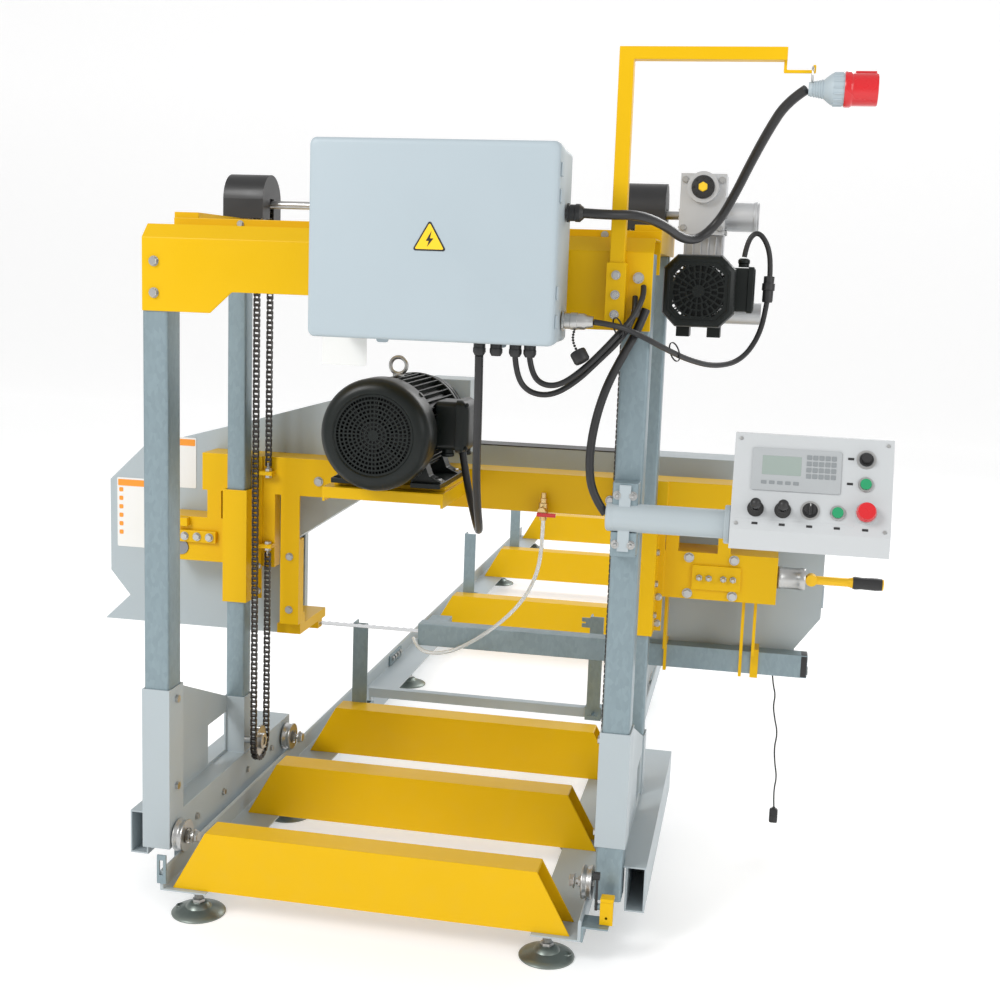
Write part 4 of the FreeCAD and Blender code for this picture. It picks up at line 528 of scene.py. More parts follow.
WIDTHS = {"bunks": 0.0018, "front_beam": 0.0016, "left_cover": 0.0012, "right_cover": 0.0012, "saw_blade": 0,
          "drive_belt": 0.002, "cabinet_fittings": 0.001, "panel_box": 0.0015, "chain_covers": 0.0014,
          "start_button": 0.0012, "reset_button": 0.0012, "stop_button": 0.002, "speed_knob": 0.001,
          "mode_selector": 0.001, "frame_fasteners": 0.0008, "head_fittings": 0.0008, "lift_gearbox": 0.004,
          "limit_lever": 0.0008}
for mat, names in KEPT.items():
    for name in names:
        obj = NODES[name]
        obj.data.materials.clear()
        obj.data.materials.append(M[mat])
        width = WIDTHS.get(name, 0.0014)
        if width:
            weld = obj.modifiers.new("weld", "WELD")
            weld.merge_threshold = 0.00002
            soften(obj, width)


# ------------------------------------------------------------------ frame pieces
def posts():
    """Rounded square tubes: an outer and an inner rounded rectangle joined at both ends."""
    bits = Bits()
    for x in (-0.534, 0.534):
        for y, w, d, low, high in ((F + 0.035, 0.06, 0.07, 0.125, 1.54),
                                   (F + 0.508, 0.05, 0.05, 0.2, 1.546)):
            outer = round_rect(x, y, w, d, 0.006, 4)
            inner = round_rect(x, y, w - 0.008, d - 0.008, 0.003, 4)
            loops = [[(a, b, low) for a, b in inner], [(a, b, low) for a, b in outer],
                     [(a, b, high) for a, b in outer], [(a, b, high) for a, b in inner],
                     [(a, b, low) for a, b in inner]]
            bits.loft(loops, False, False)
    bits.done("post_tubes", "gantry", "galvanised", replaces="posts")


def feet():
    """Pressed foot discs with a raised cup, threaded studs with ridges, and hexagon nuts."""
    discs, studs = Bits(), Bits()
    for place in (26, 640, 1935, 3718, 4654):
        for x in (-0.41, 0.41):
            y = -2.34 + place / 1000
            at = (x, y, 0)
            corner = place in (26, 4654)
            rim = mm("0 3, 55 3, 58 0, 62 0, 62.5 3, 60 6, 50 10, 30 16, 24 24, 17 27, 0 27.5")
            discs.turned(rim, at, Z, 48)
            if corner:
                out = copysign(0.045, x)
                discs.turned(mm("5.6 0, 5.6 12.5, 10 12.5, 11 10.5"),
                             (x + out, y, 0), Z, 20)
            thread = [(0, 0.026)]
            z = 0.026
            while z < 0.048:
                thread += [(0.0086, z), (0.0098, z + 0.00075)]
                z += 0.0015
            thread += [(0.0086, z), (0.0086, 0.061), (0, 0.061)]
            studs.turned(thread, at, Z, 20)
            hexagon(studs, (x, y, 0.0275), Z, 0.015, 0.008)
            hexagon(studs, (x, y, 0.0485), Z, 0.0165, 0.0115)
    discs.done("foot_discs", "bed", "foot", replaces="levelling_feet")
    studs.done("foot_studs", "bed", "steel", replaces="levelling_feet")


def frame_details():
    """Bolt heads, splice bolts, wheel bearing rings and post caps."""
    bits, splice = Bits(), Bits()
    for x in (-0.534, 0.534):
        for z in (1.422, 1.491):
            washer_bolt(bits, (x, F - 0.004, z), FRONT, 0.0055)
    for x in (-0.4, -0.12, 0.16, 0.44):
        washer_bolt(bits, (x, F + 0.1655, 1.582), FRONT, 0.004)
    for s in (-1, 1):
        for off in (0.036, 0.782):
            washer_bolt(bits, (s * 0.4555, F + off, 0.148), (-s, 0, 0), 0.008)
            bits.turned(mm("10 0, 17 0, 18 1, 18.5 2.5"),
                        (s * 0.4722, F + off, 0.148), (-s, 0, 0), 28)
        for dy in (-0.05, -0.018, 0.018, 0.05):
            washer_bolt(splice, (s * 0.4748, -0.345 + dy, 0.088), (-s, 0, 0), 0.005)
        for y, z in ((0.16, 0.145), (0.33, 0.145), (0.5, 0.145), (0.68, 0.145)):
            washer_bolt(bits, (s * 0.5028, F + y, z), (-s, 0, 0), 0.0045)
    bits.done("frame_bolts", "gantry", "steel")
    splice.done("splice_bolts", "bed", "steel")
    plates = Bits()
    for s in (-1, 1):
        plates.turned(mm("0 0, 16 0, 17.5 -2, 17.5 -6, 0 -6"),
                      (s * 0.534, F + 0.0315, 1.546 + 0.006), Z, 24)
    plates.done("post_caps", "gantry", "black", bevel=0.0004)


def roller_chain(name, spots, body, blend=None):
    """Roller chain: link plates of stadium outline, alternately inner and outer, with a roller and pin at
    each joint. spots are lists of (y, z) pin centres along each run, given per side x."""
    bits = Bits()
    for x, pins in spots:
        for k in range(len(pins)):
            y, z = pins[k]
            bits.turned(mm("0 -4.2, 4.25 -4.2, 4.25 4.2, 0 4.2"), (x, y, z), X, 10)
            bits.turned(mm("0 -8.4, 2.2 -8.4, 2.2 8.4, 0 8.4"), (x, y, z), X, 6)
            if k + 1 == len(pins):
                continue
            q = Vector((pins[k + 1][0] - y, pins[k + 1][1] - z))
            t = q.normalized()
            w = Vector((-t.y, t.x))
            outline = []
            for centre, first in ((q, -90), (Vector((0, 0)), 90)):
                for step in range(5):
                    a = radians(first + 45 * step)
                    p = centre + (t * cos(a) + w * sin(a)) * 0.0056
                    outline.append((y + p.x, z + p.y))
            waist = Vector((y, z)) + q / 2
            outline.insert(5, tuple(waist + w * 0.0043))
            outline.append(tuple(waist - w * 0.0043))
            low, high = (0.0046, 0.006) if k % 2 else (0.0063, 0.0077)
            bits.prism(outline, "x", x + low, x + high)
            bits.prism(outline, "x", x - high, x - low)
    obj = bits.done(name, None if blend else body, "chain")
    if blend:
        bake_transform(obj)
    return obj


def chains():
    """Pins at the 12.7 mm pitch down the front run, over both sprockets, and along the rear runs."""
    pitch, r = 0.0127, 0.0466
    yc, low, high = F + 0.488, 0.234, 1.643
    fixed, lower, upper = [], [], []
    for x in (-0.464, 0.464):
        length = pi * r * 2 + (high - low)
        pins, n = [], int(length / pitch)
        for k in range(n + 1):
            s = k * length / n
            if s < pi * r:
                a = s / r
                pins.append((yc + r * cos(a), low - r * sin(a)))
            elif s < pi * r + high - low:
                pins.append((yc - r, low + s - pi * r))
            else:
                a = (s - pi * r - (high - low)) / r
                pins.append((yc - r * cos(a), high + r * sin(a)))
        fixed.append((x, pins))
        lower.append((x, [(yc + r, z) for z in np.linspace(low + 0.003, 0.735, 40)]))
        upper.append((x, [(yc + r, z) for z in np.linspace(0.976, high - 0.003, 53)]))
    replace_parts(roller_chain("chain_fixed", fixed, "gantry"), "lift_chains")
    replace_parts(roller_chain("chain_lower_run", lower, "head",
                             ((0, yc + r, low), (0, yc + r, 0.735))), "head_chain_lower")
    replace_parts(roller_chain("chain_upper_run", upper, "head",
                             ((0, yc + r, high), (0, yc + r, 0.976))), "head_chain_upper")
    for label, z, body, replaced in (("sprockets_top", high, "top_shaft", None),
                                     ("sprockets_bottom", low, "bottom_sprockets", "lower_sprockets")):
        bits = Bits()
        for x in (-0.464, 0.464):
            outline = []
            for tooth in range(23):
                for shift, radius in ((0.0, 0.0392), (0.22, 0.0397), (0.4, 0.0421), (0.6, 0.0421),
                                      (0.78, 0.0397)):
                    a = 2 * pi * (tooth + shift) / 23
                    outline.append((yc + radius * cos(a), z + radius * sin(a)))
            bits.prism(outline, "x", x - 0.0034, x + 0.0034)
            bits.turned(mm("10.3 -12, 20 -12, 21 -11, 21 11, 20 12, 10.3 12"), (x, yc, z), X, 32)
        bits.done(label, body, "steel", replaces=replaced)
    lugs = Bits()
    for x in (-0.464, 0.464):
        for z, way in ((0.758, -1), (0.953, 1)):
            thread = [(0, 0)]
            for k in range(14):
                thread += [(0.0044, 0.001 + 0.0016 * k), (0.005, 0.0018 + 0.0016 * k)]
            thread += [(0, 0.0242)]
            lugs.turned(thread, (x, yc + r, z + way * 0.005), (0, 0, way), 14)
            hexagon(lugs, (x, yc + r, z + way * 0.005), (0, 0, way), 0.0095, 0.008)
            hexagon(lugs, (x, yc + r, z - way * 0.005), (0, 0, -way), 0.0095, 0.008)
    lugs.done("chain_studs", "head", "steel")


def main_motor():
    """Motor of frame size 132: domed and pierced fan cowl, fins, flanged end shield, feet, terminal box."""
    x, z, y0 = -0.07, 1.114, F + 0.146
    ring = Bits()
    ring.turned(mm("94 4, 97 1, 104 0.5, 114 3.5, 123 10, 128.5 18, 131 28, 131 89, 129.5 93, 125 94, "
                   "125 30, 110 12, 94 8"), (x, y0, z), Y, 96)
    for k in range(4):
        a = radians(45 + 90 * k)
        ring.turned(mm("0 4.5, 6 4, 6.5 0, 0 0"),
                    (x + 0.1305 * cos(a), y0 + 0.075, z + 0.1305 * sin(a)),
                    (cos(a), 0, sin(a)), 14)
    ring.done("motor_cowl", "head", "motor", replaces="main_motor")
    net = Bits()
    rings = [(0.0, 0.013, 0), (0.013, 0.019, 12), (0.019, 0.023, 0), (0.023, 0.029, 18), (0.029, 0.033, 0),
             (0.033, 0.039, 24), (0.039, 0.043, 0), (0.043, 0.049, 36), (0.049, 0.053, 0), (0.053, 0.059, 36),
             (0.059, 0.063, 0), (0.063, 0.069, 48), (0.069, 0.073, 0), (0.073, 0.079, 48), (0.079, 0.083, 0),
             (0.083, 0.089, 72), (0.089, 0.0955, 0)]
    grille(net, (x, y0 + 0.005, z), FRONT, [(max(a, 0.0005), b, c) for a, b, c in rings], 288)
    net.done("motor_grille", "head", "motor")
    fan = Bits()
    fan.turned(mm("0 16, 30 16, 34 20, 34 60, 118 74, 118 77, 0 77"), (x, y0, z), Y, 40)
    for k in range(8):
        a = radians(45 * k)
        u, w = spoke(a)
        c = Vector((x, y0, z))
        quad = [c + u * 0.033 + w * s + Vector((0, 0.022, 0)) for s in (-0.002, 0.002)]
        quad += [c + u * 0.112 + w * s + Vector((0, 0.03, 0)) for s in (0.002, -0.002)]
        back = [p + Vector((0, 0.045, 0)) for p in quad]
        fan.loft([[tuple(p) for p in quad], [tuple(p) for p in back]])
    fan.done("motor_fan", "head", "black")
    shell = Bits()
    shell.turned(mm("0 85, 106 85, 106 385, 0 385"), (x, y0, z), Y, 72)
    for k in range(44):
        a = 2 * pi * (k + 0.5) / 44
        deg = degrees(a) % 360
        if 245 < deg < 295 or deg < 16 or deg > 344:
            continue
        u, w = spoke(a)
        c = Vector((x, y0, z))
        root = [c + u * 0.104 + w * 0.0024, c + u * 0.1225 + w * 0.0014, c + u * 0.1225 - w * 0.0014,
                c + u * 0.104 - w * 0.0024]
        shell.loft([[tuple(p + Vector((0, 0.096, 0))) for p in root],
                    [tuple(p + Vector((0, 0.378, 0))) for p in root]])
    shell.turned(mm("100 376, 121.5 376, 123.5 379, 123.5 392, 119 397, 108 400, 100 410, 98 440, 112 446, "
                    "114 450, 114 470, 112 472, 50 472, 48 466, 26 466, 26 440"), (x, y0, z), Y, 72)
    for side in (-1, 1):
        for y in (0.13, 0.31):
            leg = [(x + side * 0.058, z - 0.1), (x + side * 0.09, z - 0.07),
                   (x + side * 0.104, z - 0.105),
                   (x + side * 0.133, z - 0.1185), (x + side * 0.135,
                                                    z - 0.132), (x + side * 0.06, z - 0.132)]
            shell.prism(leg if side > 0 else leg[::-1], "y", y0 + y, y0 + y + 0.045)
        low, high = sorted((x + side * 0.062, x + side * 0.135))
        shell.box((low, y0 + 0.115, z - 0.132), (high, y0 + 0.375, z - 0.12))
    shell.done("motor_body", "head", "motor", bevel=0.0012)
    lid = Bits()
    yc, zc = y0 + 0.21, z + 0.015
    loops = []
    for xx, grow, r in ((0.1, -0.012, 0.01), (0.112, 0.0, 0.014), (0.16, 0.0, 0.014),
                        (0.16, 0.005, 0.016),
                        (0.172, 0.005, 0.016), (0.18, 0.001, 0.014), (0.187, -0.008,
                                                                       0.012), (0.19, -0.016, 0.01)):
        loops.append([(x + xx, yc + a, zc + b) for a, b in round_rect(0, 0, 0.116 + 2 * grow,
                                                                      0.116 + 2 * grow, r)])
    lid.loft(loops)
    for sy in (-1, 1):
        for sz in (-1, 1):
            lid.turned(mm("5.5 0, 5.5 4, 4.5 5, 3 5, 3 3, 0 3"),
                       (x + 0.1835, yc + sy * 0.052, zc + sz * 0.052), X, 14)
    for dy in (-0.028, 0.028):
        lid.turned(mm("0 0, 14 0, 14 10, 16 11, 16 18, 13 20, 0 20"),
                   (x + 0.136 + (0.03 if dy > 0 else 0), yc + dy, zc - 0.056), DOWN, 12)
    lid.done("motor_terminal_box", "head", "motor", bevel=0.0008)
    eye = Bits().ring((x, y0 + 0.215, z + 0.15), 0.02, 0.005, Y, 32, 12)
    eye.turned(mm("0 -30, 13 -30, 14 -26, 14 -22, 9 -19, 0 -18"),
               (x, y0 + 0.215, z + 0.15), Z, 24)
    eye.done("motor_eyebolt", "head", "steel")
    bolts = Bits()
    for side in (-1, 1):
        for y in (0.152, 0.332):
            washer_bolt(bolts, (x + side * 0.12, y0 + y, z - 0.1185), Z, 0.006)
    for k in range(4):
        a = radians(45 + 90 * k)
        washer_bolt(bolts, (x + 0.112 * cos(a), y0 + 0.3925, z + 0.112 * sin(a)), Y, 0.004)
    bolts.done("motor_bolts", "head", "steel")
    plate = Bits()
    plate.plate((-0.075, 0.9585), (0.284, 0.022), 0.002, "y", (F + 0.2545, F + 0.2549))
    plate.box((x - 0.138, F + 0.3, 0.9723), (x + 0.138, F + 0.54, 0.9815))
    plate.done("motor_base_plate", "head", "yellow", bevel=0.001)


def lift_motor():
    """Small motor with an octagonal fan cowl, slotted front, ribbed body and square terminal box."""
    x, z, y0, h = 0.645, 1.468, F + 0.245, 0.08

    def octagon(s, cut=0.62):
        """Square of half side s with its corners cut off, cut being the share of a side that stays."""
        return [(x - s, z - s * cut), (x - s * cut, z - s), (x + s * cut, z - s), (x + s, z - s * cut),
                (x + s, z + s * cut), (x + s * cut, z + s), (x - s * cut, z + s), (x - s, z + s * cut)]

    cowl = Bits()
    cowl.loft([[(a, y0 + y, b) for a, b in octagon(s)]
               for y, s in ((0.055, h), (0.012, h), (0.004, h - 0.003), (0.0, h - 0.01))], False, False)
    cowl.loft([[(a, y0 + t, b) for a, b in octagon(s)]
               for s, t in ((h - 0.01, 0), (h - 0.016, 0), (h - 0.016, 0.003))], False, False)
    for sx in (-1, 1):
        for sz in (-1, 1):
            cowl.turned(mm("0 0, 3.5 0, 3.5 3, 0 3.5"),
                        (x + sx * 0.057, y0 + 0.0005, z + sz * 0.057), FRONT, 10)
    cowl.done("lift_cowl", "gantry", "motor", bevel=0.001, replaces="lift_motor")
    net = Bits()
    grille(net, (x, y0 + 0.0015, z), FRONT,
           [(0.0005, 0.014, 0), (0.014, 0.026, 12), (0.026, 0.029, 0), (0.029, 0.041, 18), (0.041, 0.044, 0),
            (0.044, 0.056, 24), (0.056, 0.059, 0), (0.059, 0.0655, 24), (0.0655, 0.0695, 0)], 144)
    corner = octagon(h - 0.0155)
    for k in range(8):
        a, b = corner[k], corner[(k + 1) % 8]
        pa, pb = Vector((a[0] - x, a[1] - z)), Vector((b[0] - x, b[1] - z))
        ra, rb = pa.normalized() * 0.066, pb.normalized() * 0.066
        net.loft([[(x + p.x, y0 + t, z + p.y) for p in (pa, pb, rb, ra)] for t in (0.0018, 0.0034)])
    net.done("lift_grille", "gantry", "motor")
    body = Bits()
    body.turned(mm("0 20, 60 20, 62 24, 62 205, 70.5 206, 70.5 217.2, 0 217.2"), (x, y0, z), Y, 48)
    for k in range(36):
        a = 2 * pi * (k + 0.5) / 36
        u, w = spoke(a)
        c = Vector((x, y0, z))
        root = [c + u * 0.061 + w * 0.0016, c + u * 0.0705 + w * 0.001, c + u * 0.0705 - w * 0.001,
                c + u * 0.061 - w * 0.0016]
        body.loft([[tuple(p + Vector((0, t, 0))) for p in root] for t in (0.057, 0.206)])
    loops = []
    for xx, grow, r in ((0.06, 0, 0.006), (0.106, 0, 0.006), (0.106, 0.003, 0.008), (0.118, 0.003, 0.008),
                        (0.1215, -0.003, 0.006)):
        loops.append([(x + xx, y0 + 0.114 + a, z + 0.006 + b)
                      for a, b in round_rect(0, 0, 0.092 + 2 * grow, 0.098 + 2 * grow, r)])
    body.loft(loops)
    body.turned(mm("0 0, 12 0, 12 8, 13.5 9, 13.5 16, 10 20, 0 20"),
                (x + 0.094, y0 + 0.112, z + 0.057), Z, 12)
    for place in (-0.05, 0.02):
        body.box((x + place, y0 + 0.08, 1.364), (x + place + 0.03, y0 + 0.15, 1.41))
    body.done("lift_motor_body", "gantry", "motor", bevel=0.0008)
    Bits().turned(mm("0 -30, 11 -30, 12 -26, 12 -4, 14.5 -3, 14.5 12, 12 13, 12 28, 0 30"),
                  (0.797, F + 0.35, 1.478), (0.02, 0.1, 0.99), 20).done("lift_connector", "gantry", "black")


def gearbox_details():
    """Seal rings, caps, ribs and bolts on the worm gearbox."""
    x, y, z = 0.634, F + 0.488, 1.643
    bits = Bits()
    for sy in (-1, 1):
        for sx in (-1, 1):
            for sz in (-0.03, 0.08):
                washer_bolt(bits, (x + sx * 0.042, y + sy * 0.0602, z + sz), (0, sy, 0), 0.004)
    for k in range(6):
        a = radians(60 * k)
        washer_bolt(bits, (0.6872, y + 0.043 * cos(a), z + 0.043 * sin(a)), X, 0.0035)
    bits.done("gearbox_bolts", "gantry", "steel")
    ring = Bits()
    ring.turned(mm("11 0, 26 0, 27 2, 26 5, 18 6, 11 6"),
                (x, F + 0.41, z + 0.063), FRONT, 40)
    for k in range(8):
        a = radians(45 * k)
        c = (x + 0.022 * cos(a), F + 0.4045, z + 0.063 + 0.022 * sin(a))
        ring.turned(mm("0 2.6, 2.5 2.2, 3 0, 0 0"), c, FRONT, 8)
    ring.done("gearbox_seal", "gantry", "black")
    cap = Bits()
    hexagon(cap, (x, F + 0.4095, z + 0.063), FRONT, 0.0115, 0.009)
    cap.done("gearbox_cap", "gantry", "sign")
    shell = Bits()
    for xx in (0.594, 0.612, 0.63, 0.648, 0.666, 0.68):
        shell.box((xx, F + 0.4605, 1.505), (xx + 0.004, F + 0.4652, 1.595))
    for zz in (1.613, 1.633, 1.653):
        shell.box((x - 0.0555, F + 0.44, zz), (x - 0.0528, F + 0.536, zz + 0.004))
    shell.turned(mm("34 0, 36.5 1, 36.5 8, 34 9"), (0.752, y, z), X, 40)
    shell.done("gearbox_ribs", "gantry", "aluminium", bevel=0.0006)


def cabinet():
    """Switch cabinet: box and lid lofted through rounded rectangles, glands, clips and a hazard sign."""
    xc, zc, w, h = 0.145, 1.547, 0.5, 0.39
    y0 = F - 0.223

    def loop(y, grow, r):
        """Rounded outline of the cabinet at depth y, grown on every side."""
        return [(xc + a, y0 + y, zc + b) for a, b in round_rect(0, 0, w + 2 * grow, h + 2 * grow, r, 6)]

    box = Bits()
    box.loft([loop(0.0335, -0.012, 0.008), loop(0.0305, -0.004, 0.01), loop(0.034, -0.001, 0.011),
              loop(0.06, -0.001, 0.011), loop(0.062, -0.003, 0.011), loop(0.19, -0.004, 0.012),
              loop(0.197, -0.007, 0.012), loop(0.2, -0.014, 0.01)])
    for px in (0.06, 0.41):
        for z in (1.453, 1.498):
            box.box((-0.105 + px, y0 + 0.199, z), (-0.105 + px + 0.03, F - 0.0042, z + 0.04))
    box.done("cabinet_shell", "gantry", "cabinet", angle=40, replaces="cabinet_box")
    lid = Bits()
    lid.loft([loop(0.0295, -0.003, 0.01), loop(0.0295, 0.0, 0.012), loop(0.01, 0.0, 0.013),
              loop(0.004, -0.0015, 0.014),
              loop(0.0012, -0.005, 0.013), loop(0.0, -0.011, 0.012)])
    for z in (1.442, 1.652):
        lid.turned(mm("0 -30, 1.8 -30, 1.8 30, 0 30"), (-0.107, y0 + 0.0295, z), Z, 12)
        lid.box((-0.107, y0 + 0.0265, z - 0.03), (-0.1045, y0 + 0.029, z + 0.03))
    lid.done("cabinet_lid_shell", "cabinet_lid", "cabinet", angle=40, replaces="cabinet_door")
    clips = Bits()
    for z in (1.4, 1.455, 1.64, 1.69):
        clips.plate((y0 + 0.023, z), (0.024, 0.026), 0.003, "x", (0.3955, 0.3985))
    clips.done("cabinet_clips", "gantry", "cabinet", bevel=0.0006)
    lug = Bits()
    for px in (0.01, 0.262):
        lug.plate((px, 1.349), (0.026, 0.02), 0.006, "y", (y0 + 0.15, y0 + 0.154))
    lug.done("cabinet_lugs", "gantry", "cabinet")
    sign, mark = Bits(), Bits()
    cx, cz, s = 0.1435, 1.554, 0.04

    def triangle(size, y, r):
        """Triangle with rounded corners, point up."""
        points = []
        for k in range(3):
            a = radians(90 - 120 * k)
            c = Vector((cx + (size - 2 * r) * cos(a), cz - 0.006 + (size - 2 * r) * sin(a)))
            for j in range(-3, 4):
                b = a - radians(20 * j)
                points.append((c.x + r * cos(b), y, c.y + r * sin(b)))
        return points[::-1]

    mark.loft([triangle(s, y0 - 0.0002, 0.004), triangle(s, y0 - 0.0008, 0.004)])
    sign.loft([triangle(s - 0.006, y0 - 0.0007, 0.002), triangle(s - 0.006, y0 - 0.0012, 0.002)])
    bolt = [(0.004, 0.018), (-0.007, -0.001), (-0.001, -0.001), (-0.004, -0.012), (0.008, 0.004),
            (0.001, 0.004)]
    mark.prism([(cx + a, cz - 0.006 + b) for a, b in bolt], "y", y0 - 0.0017, y0 - 0.0011)
    mark.done("hazard_mark", "cabinet_lid", "black")
    sign.done("hazard_field", "cabinet_lid", "sign")
    glands = Bits()
    for k, px in enumerate((225, 260, 300, 330)):
        at = (px / 1000, F - 0.103, 1.352)
        glands.turned(mm("0 0, 14.5 0, 14.5 4, 12.5 5, 12.5 13, 13.5 14, 13.5 22, 9.5 29, 0 29"), at,
                      DOWN, 12)
    glands.turned(mm("0 0, 19 0, 19 5, 16.5 6, 16.5 16, 18 17, 18 26, 12 33, 0 33"),
                  (0.395, F - 0.103, 1.614), X, 14)
    glands.done("cabinet_glands", "gantry", "black", replaces="cabinet_fittings")
    Bits().turned(mm("0 0, 20 0, 20 4, 16 5, 16 16, 17.5 17, 17.5 30, 16.5 31, 16.5 44, 13 50, 11 62, 0 62"),
                  (0.395, F - 0.103, 1.4), X, 24).done("cabinet_connector", "gantry", "steel")
    cap = Bits()
    cap.turned(mm("0 0, 16 0, 17 3, 17 20, 15 24, 0 24"),
               (0.428, F - 0.108, 1.34), (0.5, -0.2, -0.8), 20)
    for k in range(9):
        t = k / 8
        cap.turned(mm("0 -3, 2.2 -2, 3 0, 2.2 2, 0 3"),
                   (0.42 + 0.008 * t - 0.006 * sin(pi * t), F - 0.104 - 0.004 * t,
                    1.384 - 0.044 * t),
                   Z, 8)
    cap.done("connector_cap", "gantry", "black")
    plate = Bits()
    plate.plate((-0.092, 1.314), (0.1, 0.062), 0.003, "y", (F - 0.0105, F - 0.009))
    plate.box((-0.1, F - 0.009, 1.34), (-0.084, F - 0.0045, 1.44))
    plate.done("blank_plate", "gantry", "label", bevel=0.0004)


LEAN = atan2(0.075, 0.187)
OUT = Vector((0, -cos(LEAN), sin(LEAN)))
RISE = Vector((0, sin(LEAN), cos(LEAN)))


def desk(right_mm, up_mm, proud_mm=0.0):
    """Point on the desk's sloping face."""
    return Vector((0.752 + right_mm / 1000, F - 0.095,
                   0.998)) + RISE * (up_mm / 1000) + OUT * (proud_mm / 1000)


def desk_plate(bits, right_mm, up_mm, w, h, r, low, high, steps=4):
    """Rounded plate lying on the desk's face."""
    loops = []
    for proud, shrink in ((low, 0.0), (high - 0.4, 0.0), (high, 0.6)):
        loops.append([tuple(desk(right_mm + a, up_mm + b, proud))
                      for a, b in round_rect(0, 0, w - shrink, h - shrink, r, steps)])
    return bits.loft(loops)


def panel():
    """Desk fittings: display with keypad, bezels, captions left blank, lever grips and arm clamps."""
    bezel, screen, keys, rims, blank = Bits(), Bits(), Bits(), Bits(), Bits()
    desk_plate(bezel, 125.5, 127.5, 177, 89, 4, 0.1, 3.2)
    desk_plate(blank, 125.5, 20, 236, 5, 1, 0.05, 0.45)
    desk_plate(screen, 96, 136, 78, 40, 1.5, 3.0, 3.6)
    for row in range(4):
        for col in range(5):
            desk_plate(keys, 150 + col * 12.2, 156 - row * 13, 9.6, 9.4, 1.2, 3.0, 4.3)
    for col in range(5):
        desk_plate(keys, 62 + col * 16, 100, 11, 7, 1.2, 3.0, 4.2)
    bezel.done("display_bezel", "gantry", "bezel")
    blank.done("desk_overlay", "gantry", "panel")
    screen.done("display_screen", "gantry", "screen")
    keys.done("display_keys", "gantry", "keys")
    for r_mm, u_mm, inner, outer in ((211, 45, 11.4, 15.2), (263, 107, 11.4, 15.2)):
        rims.turned([(inner / 1000, 0.0), (inner / 1000, 0.0048), (outer / 1000 - 0.001, 0.0048),
                     (outer / 1000, 0.0035), (outer / 1000, 0.0)], desk(r_mm, u_mm, 0.3), OUT, 40)
    for r_mm, u_mm in ((157, 47), (262, 159)):
        rims.turned(mm("15.5 0, 19.5 0, 19.5 0.7, 15.5 0.7"), desk(r_mm, u_mm, 0.5), OUT, 40)
    rims.done("switch_rims", "gantry", "steel")
    boots = Bits()
    for r_mm in (49, 103):
        boots.turned(mm("16.6 0, 16.6 3, 15 4.5, 15.5 6, 13 7.5, 13.5 9.2, 11.2 10.8, 11.2 15, 7.5 15.5"),
                     desk(r_mm, 44, 0.3), OUT, 32)
    boots.done("stick_boots", "gantry", "rubber")
    Bits().loft([[tuple(desk(157 + a, 47 + b, p)) for a, b in round_rect(0, 0, 6.5 - s, 23 - s, 2.4)] for p,
                 s in ((4, 0), (17, 0.5), (18.5, 2.0))]).done("selector_grip", "selector", "black",
                                                              bevel=0.0003)
    tick = Bits()
    desk_plate(tick, 157, 55, 1.4, 5, 0.5, 18.2, 18.9)
    tick.done("selector_tick", "selector", "label")
    knurl = Bits()
    for k in range(24):
        a = 2 * pi * k / 24
        c = desk(262 + 9 * cos(a), 159 + 9 * sin(a), 4)
        knurl.turned(mm("0 0, 0.9 0, 0.9 12.5, 0 13"), c, OUT, 6)
    knurl.done("knob_knurl", "knob", "black")
    tabs = Bits()
    for r_mm, u_mm in ((49, 14), (103, 14), (157, 14), (211, 14), (266, 14), (232, 107), (232, 159)):
        desk_plate(tabs, r_mm, u_mm, 12, 5, 0.6, 0.4, 0.8)
    tabs.done("blank_captions", "gantry", "black")
    clamp = Bits()
    tall = 0.052
    for z in (1.018, 0.914):
        clamp.plate((0.534, F - 0.026), (0.054, 0.05), 0.004, "z", (z, z + tall))
    clamp.done("arm_clamps", "gantry", "galvanised", bevel=0.001)
    nuts = Bits()
    for z in (1.044, 0.94):
        for sx in (-0.016, 0.016):
            washer_bolt(nuts, (0.534 + sx, F - 0.0512, z), FRONT, 0.0045)
            nuts.turned(mm("0 5.2, 3 4.5, 4.5 2, 4.5 0"),
                        (0.534 + sx, F - 0.0577, z), FRONT, 12)
    for k in range(4):
        nuts.turned(mm("0 3, 3 2.5, 4 0, 0 0"),
                    desk((12, 304, 12, 304)[k], (12, 12, 190, 190)[k], 0.4), OUT, 12)
    nuts.done("desk_screws", "gantry", "steel")
    ring = Bits()
    ring.turned(mm("30.5 0, 38 0, 40 2, 40 10, 38 12, 30.5 12"),
                (0.74, F - 0.04, 0.996), X, 40)
    ring.turned(mm("0 -4, 27 -4, 30 -1, 30.3 3, 30.3 10, 29 12"),
                (0.4995, F - 0.04, 0.996), X, 40)
    ring.done("arm_flange", "gantry", "grey_paint")


